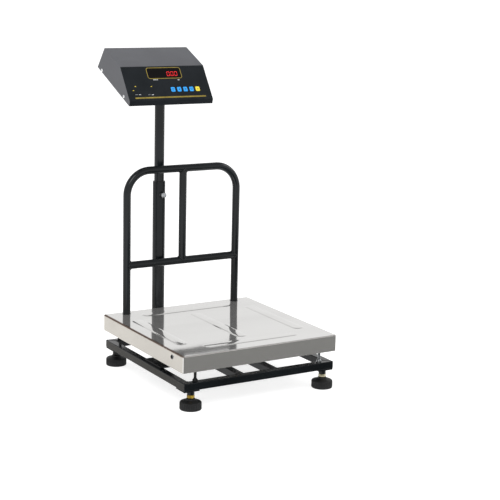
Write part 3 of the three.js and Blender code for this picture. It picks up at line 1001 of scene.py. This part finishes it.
@dataclass
class StopScrew:
    """An overload stop: a stud through the base with its nut and rounded head."""

    radius: float = 4.0
    pitch: float = 1.25
    thread_low: float = 77.4
    head: float = 5.5

    def build(self) -> None:
        """Dresses the four stop screws, with threads and softened nuts."""
        first = middle_mm("stop_screw_front_left")
        top = box_mm("stop_screw_front_left")[1].z - self.head
        place = at(first.x, first.y, 0)
        thread = threaded("stop_pattern", self.radius, self.thread_low, top, self.pitch, place)
        for corner in CORNERS:
            node = f"stop_screw_{corner}"
            shift = middle_mm(node) - first
            finish = NYLON if "left" in corner else ZINC
            body = refined(node, f"stop_stud_{corner}", 0.5)
            dress(body, finish, "base", "zinc_plated_steel", node)
            twin = copy_of(thread, f"stop_thread_{corner}", at(shift.x, shift.y, 0))
            dress(twin, finish, "base", "zinc_plated_steel")
        bpy.data.objects.remove(thread)


# ---------------------------------------------------------------- platform


@dataclass
class Pan:
    """The pressed stainless pan with raised beads and a folded skirt, and its fixing screws."""

    sheet: float = 1.5
    fold: float = 3.0
    bead_width: float = 40.0
    bead_height: float = 2.5
    crown: float = 1.5
    sink: float = 0.15
    slope: float = 7.0
    slope_steps: int = 8
    long: float = 300.0
    wide: float = 310.0
    from_side: float = 57.5
    from_end: float = 62.0
    screw_reach: float = 188.0
    screw_height: float = 139.7

    def build(self) -> None:
        """Makes the sheet, its beads and its screws."""
        low, high = box_mm("pan")
        top = high.z - self.bead_height
        centre = (low + high) / 2
        sheet = self.skin(low, Vector((high.x, high.y, top)))
        half = (high.x - low.x) / 2
        beads = [self.bead(self.long, 0, centre.x + side * (half - self.from_side), centre.y, top)
                 for side in (-1, 0, 1)]
        beads += [self.bead(self.wide, math.pi / 2, centre.x, centre.y + end * (half - self.from_end), top)
                  for end in (-1, 1)]
        dress(joined("pan_sheet", [sheet] + beads), STAINLESS, "platform", "stainless_sheet", "pan")
        self.screws(low, high, centre)

    def skin(self, low: Vector, high: Vector) -> bpy.types.Object:
        """Makes the folded sheet, open below.

        Args:
            low: The lowest corner in mm.
            high: The highest corner of the flat in mm.

        Returns:
            The sheet with its thickness.
        """
        thing = block("pan_skin", low, high)
        only(thing)
        bpy.ops.object.shade_smooth()
        open_edit(thing, Pick.EDGE, lambda e: max(v.co.z for v in e.verts) > high.z * MM - 1e-5)
        bpy.ops.mesh.bevel(offset=self.fold * MM, segments=5, affect="EDGES", harden_normals=True)
        open_edit(thing, Pick.FACE, lambda f: f.normal.z < -0.9)
        bpy.ops.mesh.delete(type="FACE")
        close_edit()
        apply_modifier(thing, "SOLIDIFY", thickness=self.sheet * MM, offset=-1, use_even_offset=True)
        apply_modifier(thing, "WEIGHTED_NORMAL", keep_sharp=True, weight=100)
        return thing

    def bead(self, length: float, turn: float, x: float, y: float, top: float) -> bpy.types.Object:
        """Makes one raised bead with round ends and an S-shaped slope.

        Args:
            length: Its whole length in mm.
            turn: Its turn about Z.
            x: Its middle in mm.
            y: Its middle in mm.
            top: The flat's height in mm.

        Returns:
            The bead.
        """
        radius = self.bead_width / 2
        clear()
        bpy.ops.mesh.primitive_circle_add(vertices=64, radius=radius * MM, fill_type="NGON",
                                          location=(0, 0, (top - self.sink) * MM))
        thing = settle("bead")
        straight = (length / 2 - radius) * MM
        for vertex in thing.data.vertices:
            if abs(vertex.co.y) > MERGE:
                vertex.co.y += math.copysign(straight, vertex.co.y)
        open_edit(thing, Pick.FACE, lambda f: True)
        height = 0.0
        for index in range(self.slope_steps):
            share = (index + 1) / self.slope_steps
            rise = (0.5 - 0.5 * math.cos(math.pi * share)) * (self.crown + self.sink)
            bpy.ops.mesh.inset(thickness=self.slope / self.slope_steps * MM)
            bpy.ops.transform.translate(value=(0, 0, (rise - height) * MM))
            height = rise
        close_edit()
        smooth(thing, 50)
        move(thing, at(x, y, 0) @ Matrix.Rotation(turn, 4, "Z"))
        return thing

    def screws(self, low: Vector, high: Vector, centre: Vector) -> None:
        """Puts the fixing screws in the skirt's sides.

        Args:
            low: The pan's lowest corner in mm.
            high: The pan's highest corner in mm.
            centre: The pan's middle in mm.
        """
        washer = [(7.0, -0.6), (7.0, 0.35), (6.7, 0.6), (5.4, 0.6)]
        head = [(5.6, 0.0), (5.6, 1.2), (5.3, 2.1), (4.3, 2.9), (3.0, 3.3), (2.7, 3.2), (2.5, 1.2)]
        for side, x, direction in (("left", low.x, -1), ("right", high.x, 1)):
            spot = Vector((x, centre.y - self.screw_reach, self.screw_height))
            face = along(Vector((direction, 0, 0)), spot)
            cup = turned(f"pan_screw_washer_{side}", washer, face, 40)
            dress(cup, ZINC, "platform", "zinc_plated_steel")
            button = turned(f"pan_screw_{side}", head, face, 40)
            dress(button, NYLON, "platform", "black_plastic")


@dataclass
class GuardRail:
    """The bent guard rail with its cross tube, middle tube and welds."""

    radius: float = 11.5
    bend: float = 72.5
    sides: int = 40
    bend_steps: int = 18
    weld: float = 1.9
    foot_weld: float = 0.9
    overlap: float = 3.0

    def build(self) -> None:
        """Makes the hoop, both inner tubes and their welds."""
        low, high = box_mm("guard_hoop")
        centre = (low + high) / 2
        half = (high.x - low.x) / 2 - self.radius
        top = high.z - self.radius
        hoop = self.hoop(centre, half, low.z, top)
        dress(hoop, POWDER, "platform", "frame_powder_coat", "guard_hoop")
        cross_z = middle_mm("guard_cross_tube").z
        inner = half - self.overlap
        cross = turned("guard_cross", [(self.radius, -inner), (self.radius, inner)],
                       at(centre.x, centre.y, cross_z) @ Matrix.Rotation(math.pi / 2, 4, "Y"), self.sides)
        dress(cross, POWDER, "platform", "frame_powder_coat", "guard_cross_tube")
        ends = (cross_z + self.overlap, top - self.overlap)
        middle = turned("guard_middle", [(self.radius, end) for end in ends],
                        at(centre.x, centre.y, 0), self.sides)
        dress(middle, POWDER, "platform", "frame_powder_coat", "guard_middle_tube")
        beads = [self.saddle(Vector((centre.x + side * half, centre.y, cross_z)), Vector((-side, 0, 0)))
                 for side in (-1, 1)]
        beads.append(self.saddle(Vector((centre.x, centre.y, cross_z)), Vector((0, 0, 1))))
        beads.append(self.saddle(Vector((centre.x, centre.y, top)), Vector((0, 0, -1))))
        beads += [self.collar(Vector((centre.x + side * half, centre.y, low.z))) for side in (-1, 1)]
        dress(joined("guard_welds", beads), POWDER, "platform", "frame_powder_coat")

    def hoop(self, centre: Vector, half: float, foot: float, top: float) -> bpy.types.Object:
        """Bends the round tube up, over and down.

        Args:
            centre: The hoop's middle in mm.
            half: Half the distance between the legs in mm.
            foot: The legs' lower end in mm.
            top: The top tube's axis in mm.

        Returns:
            The hoop.
        """
        clear()
        bpy.ops.mesh.primitive_circle_add(vertices=self.sides, radius=self.radius * MM, fill_type="NGON",
                                          location=mm(centre.x - half, centre.y, foot))
        thing = settle("guard_rail")
        bpy.ops.object.mode_set(mode="EDIT")
        bpy.ops.mesh.select_all(action="SELECT")
        turn = {"steps": self.bend_steps, "angle": -math.pi / 2, "axis": (0, 1, 0)}
        shoulder = top - self.bend
        inner = half - self.bend
        leg = shoulder - foot
        bpy.ops.mesh.extrude_region_move(TRANSFORM_OT_translate={"value": mm(0, 0, leg)})
        bpy.ops.mesh.spin(center=mm(centre.x - inner, centre.y, shoulder), **turn)
        bpy.ops.mesh.extrude_region_move(TRANSFORM_OT_translate={"value": mm(2 * inner, 0, 0)})
        bpy.ops.mesh.spin(center=mm(centre.x + inner, centre.y, shoulder), **turn)
        bpy.ops.mesh.extrude_region_move(TRANSFORM_OT_translate={"value": mm(0, 0, -leg)})
        close_edit()
        put_right(thing)
        return smooth(thing, 32)

    def saddle(self, origin: Vector, direction: Vector) -> bpy.types.Object:
        """Lays the weld where a tube meets another of the same size.

        Args:
            origin: The crossing of the two axes in mm.
            direction: The way the joining tube leaves.

        Returns:
            The weld.
        """
        side = Vector((0, 1, 0))
        third = direction.cross(side)
        reach = self.radius + 0.3
        points = []
        for spoke in spokes(56):
            lift = reach * abs(spoke.y) ** 0.85 + 0.2
            points.append(origin + direction * lift + (side * spoke.x + third * spoke.y) * reach)
        return weld_line("saddle", points, self.weld)

    def collar(self, origin: Vector) -> bpy.types.Object:
        """Lays the weld round a leg where it stands on the pan.

        Args:
            origin: The middle of the leg's end in mm.

        Returns:
            The weld.
        """
        points = [origin + spoke * (self.radius + 0.1) + Vector((0, 0, 0.3)) for spoke in spokes(48)]
        return weld_line("collar", points, self.foot_weld)


def dress_platform_frame() -> None:
    """Dresses the four tubes and rounds the plate under the pan."""
    for side in ("left", "right", "front", "rear"):
        bar = refined(f"pan_frame_{side}", f"pan_frame_bar_{side}", 0)
        dress(bar, POWDER, "platform", "frame_powder_coat", f"pan_frame_{side}")
    plate = refined("cell_top_plate", "cell_top_plate_rounded", 0.8)
    dress(plate, POWDER, "platform", "frame_powder_coat", "cell_top_plate")


# ---------------------------------------------------------------- post and mast


@dataclass
class Post:
    """The post tube with its collar, mast, bush and knurled lock screw."""

    wall: float = 2.0
    lip: float = 0.7
    sleeve: float = 16.6
    boss_radius: float = 9.0
    boss_reach: float = 7.0
    boss_weld: float = 1.4
    knurls: int = 30
    knurl_depth: float = 0.45
    screw_pitch: float = 1.25
    sides: int = 72

    def build(self) -> None:
        """Makes the tubes and the lock screw."""
        mast_low, mast_high = box_mm("mast_tube")
        axis = (mast_low + mast_high) / 2
        self.post(axis)
        radius = (mast_high.x - mast_low.x) / 2
        stations = [(radius - 0.6, mast_low.z), (radius, mast_low.z + 0.6), (radius, mast_high.z)]
        mast = turned("mast_pole", stations, at(axis.x, axis.y, 0), self.sides)
        dress(mast, POWDER, "head", "frame_powder_coat", "mast_tube")
        bush = refined("mast_bush", "mast_foot_bush", 0.5)
        dress(bush, ABS, "mast_bush", "black_plastic", "mast_bush")
        self.collar(axis, radius)
        self.lock_screw()

    def post(self, axis: Vector) -> None:
        """Makes the post tube, its threaded boss and the weld round the boss.

        Args:
            axis: The mast's middle in mm.
        """
        low, high = box_mm("post_tube")
        radius = (high.x - low.x) / 2
        bore = radius - self.wall
        outside = [(radius - 0.5, low.z), (radius, low.z + 0.5), (radius, high.z - self.lip)]
        mouth = [(radius - 0.25, high.z - 0.15), (radius - 0.7, high.z), (bore + 0.4, high.z)]
        inside = [(bore, high.z - 0.4), (bore, high.z - 26)]
        tube = turned("post_pipe", outside + mouth + inside, at(axis.x, axis.y, 0), self.sides)
        height = middle_mm("lock_screw_head").z
        outer = self.boss_radius
        front = radius + self.boss_reach
        boss = turned("post_boss", [
            (outer, radius - 1.6), (outer, front - 1.2), (outer - 0.4, front - 0.3), (outer - 1.3, front),
            (5.0, front), (4.6, front - 0.5), (4.6, radius + 2)],
            along(Vector((0, -1, 0)), Vector((axis.x, axis.y, height))), 48)
        ring = []
        for spoke in spokes(44):
            x = (outer + 0.3) * spoke.x
            back = math.sqrt(radius ** 2 - x ** 2) + 0.3
            ring.append(Vector((axis.x + x, axis.y - back, height + (outer + 0.3) * spoke.y)))
        bead = weld_line("post_boss_weld", ring, self.boss_weld)
        dress(joined("post_pipe", [tube, boss, bead]), POWDER, "base", "frame_powder_coat", "post_tube")

    def collar(self, axis: Vector, bore: float) -> None:
        """Makes the plastic collar in the post's mouth.

        Args:
            axis: The mast's middle in mm.
            bore: The mast's radius in mm.
        """
        low, high = box_mm("post_collar")
        flange = (high.x - low.x) / 2
        mouth = box_mm("post_tube")[1].z
        sleeve = [(self.sleeve, low.z), (self.sleeve, mouth + 0.3)]
        rim = [(flange - 0.3, mouth + 0.3), (flange, mouth + 0.7), (flange, high.z - 1.3),
               (flange - 0.4, high.z - 0.4), (flange - 1.2, high.z)]
        throat = [(bore + 0.9, high.z), (bore + 0.35, high.z - 0.5), (bore + 0.3, low.z + 1)]
        collar = turned("post_mouth_collar", sleeve + rim + throat, at(axis.x, axis.y, 0), self.sides)
        dress(collar, ABS, "base", "black_plastic", "post_collar")

    def lock_screw(self) -> None:
        """Makes the knurled head and the shank."""
        low, high = box_mm("lock_screw_head")
        middle = (low + high) / 2
        radius = (high.x - low.x) / 2
        depth = high.y - low.y
        place = along(Vector((0, -1, 0)), Vector((middle.x, high.y, middle.z)))
        back = [(4.3, 0.0), (radius - 1.3, 0.0), (radius - 0.2, 0.7), (radius, 1.2)]
        front = [(radius, depth - 1.5), (radius - 0.2, depth - 0.8), (radius - 1.3, depth - 0.1),
                 (radius - 2.2, depth), (2.0, depth - 0.1)]
        head = turned("lock_knob", back + front, Matrix.Identity(4), 180)
        for vertex in head.data.vertices:
            away = math.hypot(vertex.co.x, vertex.co.y) / MM
            if away > radius - 0.6:
                angle = math.atan2(vertex.co.y, vertex.co.x)
                cut = self.knurl_depth * (0.5 - 0.5 * math.cos(self.knurls * angle))
                vertex.co.x *= 1 - cut / away
                vertex.co.y *= 1 - cut / away
        smooth(head, 40)
        dress(move(head, place), ZINC, "lock_screw_head", "zinc_plated_steel", "lock_screw_head")
        shank_low, shank_high = box_mm("lock_screw_shank")
        length = shank_high.y - shank_low.y
        start = Vector((middle.x, shank_low.y, middle.z))
        shank = threaded("lock_thread", (shank_high.x - shank_low.x) / 2, 0, length, self.screw_pitch,
                         along(Vector((0, 1, 0)), start))
        dress(shank, ZINC, "lock_screw_shank", "zinc_plated_steel", "lock_screw_shank")


# ---------------------------------------------------------------- indicator


def chip(name: str, width: float, height: float, thick: float, corner: float, steps: int = 5,
         line: float = 0) -> bpy.types.Object:
    """Makes a thin plate with rounded corners, lying flat at the origin.

    Args:
        name: The piece's name.
        width: Its width in mm.
        height: Its height in mm.
        thick: Its thickness in mm.
        corner: Its corners' radius in mm.
        steps: The corners' steps.
        line: The line's width in mm where only an outline is left, or 0.

    Returns:
        The plate.
    """
    clear()
    bpy.ops.mesh.primitive_plane_add(size=1)
    bpy.context.object.scale = (width * MM, height * MM, 1)
    thing = settle(name)
    open_edit(thing, Pick.VERT, lambda v: True)
    bpy.ops.mesh.bevel(offset=corner * MM, segments=steps, affect="VERTICES")
    if line:
        bpy.ops.mesh.select_all(action="SELECT")
        bpy.ops.mesh.inset(thickness=line * MM)
        bpy.ops.mesh.delete(type="FACE")
    bpy.ops.mesh.select_all(action="SELECT")
    bpy.ops.mesh.extrude_region_move(TRANSFORM_OT_translate={"value": (0, 0, thick * MM)})
    close_edit()
    put_right(thing)
    return smooth(thing, 30)


class Face:
    """The indicator's sloping face: places on it run across, down the slope and out of it, in mm."""

    def __init__(self) -> None:
        """Reads the slope from the face film's largest flat."""
        mesh = frame["nodes"]["fascia"].data
        flat = max(mesh.polygons, key=lambda f: f.area if f.normal.y < -0.5 else 0)
        self.out = flat.normal.copy()
        self.down = Vector((1, 0, 0)).cross(self.out)
        self.level = self.reach("fascia")
        top = min(v.co.dot(self.down) for v in mesh.vertices) / MM - 2.3
        mast = middle_mm("mast_tube")
        self.origin = Vector((mast.x, 0, 0)) + self.down * top + self.out * self.level

    def reach(self, node: str) -> float:
        """Gives how far out of the slope a CAD node reaches, in mm."""
        return max(v.co.dot(self.out) for v in frame["nodes"][node].data.vertices) / MM

    def place(self, across: float, down: float, lift: float = 0.0) -> Matrix:
        """Gives the move to a place on the face.

        Args:
            across: The distance right of the mast in mm.
            down: The distance down from the ridge in mm.
            lift: The height above the film in mm.

        Returns:
            The move, with Y up the slope and Z out of it.
        """
        columns = Matrix((Vector((1, 0, 0)), -self.down, self.out)).transposed().to_4x4()
        columns.translation = self.origin + Vector((across, 0, 0)) + self.down * down + self.out * lift
        return columns


@dataclass
class Indicator:
    """The tilted housing with its printed face, window, lit digits, keys, screws and rear fittings."""

    tilt: float = 24.1
    pivot_drop: float = 1.67
    segment_high: float = 14.8
    segment_wide: float = 9.2
    segment_line: float = 1.3
    digit_step: float = 12.7
    digit_first: float = 11.8
    digit_down: float = 26.2
    slant: float = 0.09
    key_first: float = 13.4
    key_step: float = 20.6
    key_down: float = 79.2
    ink: float = 0.12

    def build(self) -> None:
        """Makes every part of the head."""
        self.face = Face()
        self.cover()
        tray = refined("housing_tray", "indicator_tray", 0.5, 2)
        dress(tray, HOUSING, "head", "indicator_powder_coat", "housing_tray")
        plate = refined("head_plate", "head_mount_plate", 0.7)
        dress(plate, POWDER, "head", "frame_powder_coat", "head_plate")
        film = refined("fascia", "face_film", 0.25, 2)
        dress(film, FILM, "head", "fascia_film", "fascia")
        window = refined("display_window", "display_lens", 0.4, 3)
        dress(window, ACRYLIC, "head", "window_acrylic", "display_window")
        for node, body in (("charger_socket", "head"), ("power_rocker", "power_rocker")):
            dress(refined(node, node + "_rounded", 0.4, 3), ABS, body, "black_plastic", node)
        self.prints()
        self.digits()
        self.keys()
        self.screws()

    def cover(self) -> None:
        """Rounds the folded cover and gives its front the dark of the face."""
        cover = refined("housing_cover", "indicator_cover", 1.3, 3)
        dress(cover, HOUSING, "head", "indicator_powder_coat", "housing_cover")
        cover.data.materials.append(FILM.build())
        for part in cover.data.polygons:
            if part.normal.y < -0.6 and abs(part.normal.x) < 0.7:
                part.material_index = 1

    def ink_plate(self, name: str, finish: Finish, across: float, down: float, width: float, height: float,
                  corner: float, line: float = 0, slot: str = "fascia_film") -> None:
        """Prints one mark on the face.

        Args:
            name: The mark's name.
            finish: Its ink.
            across: Its middle in mm.
            down: Its middle in mm.
            width: Its width in mm.
            height: Its height in mm.
            corner: Its corners' radius in mm.
            line: Its line in mm, or 0 where it is filled.
            slot: The record's material slot.
        """
        thing = chip(name, width, height, self.ink + 0.2, corner, 6, line)
        move(thing, self.face.place(across, down, -0.2))
        dress(thing, finish, "head", slot)

    def prints(self) -> None:
        """Prints the gold outline and stripe and the small plain marks."""
        self.ink_plate("gold_window_outline", GOLD_INK, -1, 23.2, 114, 38, 8, 2.1)
        self.ink_plate("gold_stripe", GOLD_INK, 0, 104, 234, 4.6, 1.2)
        captions = ((-40.0, 45.3, 5.0), (-34.0, 45.3, 4.6), (-28.8, 45.3, 3.0), (40.9, 47.4, 6.0))
        for index, (across, down, width) in enumerate(captions):
            self.ink_plate(f"white_mark_{index}", WHITE_INK, across, down, width, 2.4, 0.6)
        for index, (across, down) in enumerate(((-106.6, 65.5), (-55.0, 67.1), (-116.4, 78.8))):
            self.ink_plate(f"yellow_mark_{index}", YELLOW_INK, across, down, 3.8, 1.8, 0.6)
        for index, (across, down) in enumerate(((-99.3, 92.9), (-57.7, 94.3))):
            self.ink_plate(f"port_mark_{index}", WHITE_INK, across, down, 6.8, 1.7, 0.6)
            self.ink_plate(f"port_line_{index}", WHITE_INK, across - 10.5, down - 0.3, 8.0, 0.5, 0.2)

    def digits(self) -> None:
        """Lights three noughts and the point in the window."""
        lift = self.face.reach("display_window") - self.face.level + 0.05
        high, wide, line = self.segment_high / 2, self.segment_wide, self.segment_line
        upright = high - line * 0.6
        side = (wide - line) / 2
        end = high - line / 2
        level = wide - line * 1.1
        nought = [(0, y, level, 0) for y in (end, -end)]
        nought += [(x, y, upright - 0.4, math.pi / 2) for y in (high / 2, -high / 2) for x in (-side, side)]
        parts = []
        for index in range(3):
            centre = self.digit_first + index * self.digit_step
            for x, y, length, turn in nought:
                bar = chip("segment", length, line, 0.15, line / 2 - 0.02, 1)
                parts.append(move(bar, at(x + centre, y, 0) @ Matrix.Rotation(turn, 4, "Z")))
        dot = chip("segment", line * 1.05, line * 1.05, 0.15, 0.4, 3)
        parts.append(move(dot, at(self.digit_first + self.digit_step / 2 + 0.4, -high + line / 2, 0)))
        shown = joined("lit_digits", parts)
        for vertex in shown.data.vertices:
            vertex.co.x += self.slant * vertex.co.y
        move(shown, self.face.place(0, self.digit_down, lift))
        dress(shown, LIT, "head", "window_acrylic")

    def keys(self) -> None:
        """Makes the five keys with their plain signs."""
        signs = (((0, 2.4, 6.0, 1.2), (0, -2.4, 6.0, 1.2)), ((0, 0, 1.3, 7.0), (0, 0, 6.0, 1.3)),
                 ((0, 2.2, 5.2, 1.2), (0, -0.6, 1.4, 6.4)), ((-1.8, 0, 1.3, 6.0), (1.8, 0, 1.3, 6.0)),
                 ((0, 0, 5.6, 1.4), (0, -2.8, 3.4, 1.2)))
        for index, sign in enumerate(signs):
            node = f"key_{index + 1}"
            finish = YELLOW_KEY if index == 4 else BLUE_KEY
            slot = "key_yellow" if index == 4 else "key_blue"
            cap = refined(node, f"key_cap_{index + 1}", 0.35, 3)
            dress(cap, finish, node, slot, node)
            lift = self.face.reach(node) - self.face.level
            across = self.key_first + index * self.key_step
            bars = []
            for x, y, width, height in sign:
                bar = chip("sign", width, height, 0.3, 0.4, 3)
                bars.append(move(bar, self.face.place(across + x, self.key_down - y, lift - 0.2)))
            dress(joined(f"key_sign_{index + 1}", bars), DARK_INK, node, slot)
            ring = chip(f"key_border_{index + 1}", 15.6, 17.6, 0.26, 3.4, 5, 0.8)
            move(ring, self.face.place(across, self.key_down, -0.2))
            dress(ring, FILM, "head", "fascia_film")

    def screws(self) -> None:
        """Puts the screws, their pale zinc a painted highlight, in the housing's sides."""
        low, high = box_mm("housing_cover")
        mast = middle_mm("mast_tube")
        top = box_mm("mast_tube")[1].z
        pivot = Vector((0, mast.y, top - self.pivot_drop))
        turn = Matrix.Rotation(math.radians(self.tilt), 4, "X")
        dome = [(4.9, -0.4), (4.9, 0.5), (4.6, 1.2), (3.8, 1.8), (2.4, 2.2), (0.9, 2.35)]
        for side, x, direction in (("left", low.x, -1), ("right", high.x, 1)):
            for end, y, z in (("rear", 123.6, 5.8), ("front", -39.0, 8.0)):
                spot = pivot + turn @ Vector((0, y, z))
                place = along(Vector((direction, 0, 0)), Vector((x, spot.y, spot.z)))
                head = turned(f"housing_screw_{side}_{end}", dome, place, 40)
                cross = [chip("slot", 4.2, 0.9, 0.5, 0.2, 2), chip("slot", 0.9, 4.2, 0.5, 0.2, 2)]
                # the pale zinc of the heads is a painted highlight
                dress(head, SCREW_ZINC_HIGHLIGHT, "head", "zinc_plated_steel")
                slots = [move(slot, place @ at(0, 0, 1.9)) for slot in cross]
                # the cross recess is black chips: painted shade in the recess
                recess = joined(f"housing_screw_recess_{side}_{end}", slots)
                dress(recess, NYLON, "head", "black_plastic")


# ---------------------------------------------------------------- studio


@dataclass
class Studio:
    """The pale floor, the soft light, the mirrored cards and the camera."""

    world_light: float = 1.0
    ceiling: str = "#b4b4b4"
    lens: float = 97.39
    from_pan: Point = (-1.91845, -3.322615, 1.19548)
    yaw: float = 31.34
    pitch: float = 11.99
    roll: float = 1.34

    def build(self) -> None:
        """Makes the floor, the lights and the camera."""
        self.floor()
        self.lights()
        self.camera()
        bpy.context.scene.view_settings.view_transform = "Standard"

    def floor(self) -> None:
        """Lays the floor and the two cards that the skirt mirrors."""
        clear()
        bpy.ops.mesh.primitive_plane_add(size=160)
        ground = settle("floor")
        ground.data.materials.append(FLOOR.build())
        self.card("grey_card", CARD, (0.55, -1.05, 0.01), (1.7, 1.3, 1))
        self.card("cream_card", CREAM_CARD, (-0.85, 0.45, 0.01), (1.2, 1.5, 1))

    def card(self, name: str, finish: Finish, place: Point, size: Point) -> None:
        """Lays a card that only mirrors see.

        Args:
            name: Its name.
            finish: Its paint.
            place: Its middle in metres.
            size: Its width and length in metres.
        """
        clear()
        bpy.ops.mesh.primitive_plane_add(size=1, location=place)
        bpy.context.object.scale = size
        card = settle(name)
        card.data.materials.append(finish.build())
        card.visible_camera = False
        card.visible_shadow = False
        card.visible_diffuse = False

    def lights(self) -> None:
        """Sets the white room and three soft boxes."""
        world = bpy.data.worlds.new("room")
        bpy.context.scene.world = world
        world.use_nodes = True
        tree = world.node_tree
        room = tree.nodes["Background"]
        room.inputs["Strength"].default_value = self.world_light
        place = add(tree, "ShaderNodeTexCoord", {}).outputs["Generated"]
        height = add(tree, "ShaderNodeSeparateXYZ", {}, {0: place}).outputs[2]
        tree.links.new(ramp(tree, height, ((0.42, "#ffffff"), (0.78, self.ceiling))), room.inputs["Color"])
        boxes = (("key_box", (-2.4, -2.6, 3.4), 2.2, 66.0), ("side_box", (3.0, -0.8, 2.4), 1.6, 22.0),
                 ("top_box", (0.2, 0.6, 3.6), 2.2, 30.0))
        for name, place, size, power in boxes:
            clear()
            bpy.ops.object.light_add(type="AREA", location=place)
            lamp = bpy.context.object
            lamp.name = name
            lamp.data.size = size
            lamp.data.energy = power
            aim = Vector((0, 0, 0.4)) - Vector(place)
            lamp.rotation_euler = aim.to_track_quat("-Z", "Y").to_euler()

    def camera(self) -> None:
        """Sets the camera in front, left of and above the scale, looking a little down."""
        clear()
        bpy.ops.object.camera_add()
        camera = bpy.context.object
        camera.name = "camera"
        camera.data.lens = self.lens
        camera.data.sensor_width = 36
        camera.data.clip_end = 300
        yaw, pitch, roll = (math.radians(v) for v in (self.yaw, self.pitch, self.roll))
        ahead = Vector((math.sin(yaw) * math.cos(pitch), math.cos(yaw) * math.cos(pitch), -math.sin(pitch)))
        right = Vector((math.cos(yaw), -math.sin(yaw), 0))
        up = right.cross(ahead)
        across = right * math.cos(roll) + up * math.sin(roll)
        lift = up * math.cos(roll) - right * math.sin(roll)
        place = Matrix((across, lift, -ahead)).transposed().to_4x4()
        pan = middle_mm("pan") * MM
        place.translation = Vector((pan.x, pan.y, 0)) + Vector(self.from_pan)
        camera.matrix_world = place
        bpy.context.scene.camera = camera


def main() -> None:
    """Builds the scale and its studio."""
    logging.basicConfig(level=logging.INFO, format="%(message)s")
    dress_nodes()
    for part in (Studio(), BaseFrame(), Foot(), StopScrew(), Pan(), GuardRail(), Post(), Indicator()):
        log.info("building %s", type(part).__name__)
        part.build()
    dress_platform_frame()


if __name__ == "__main__":
    main()
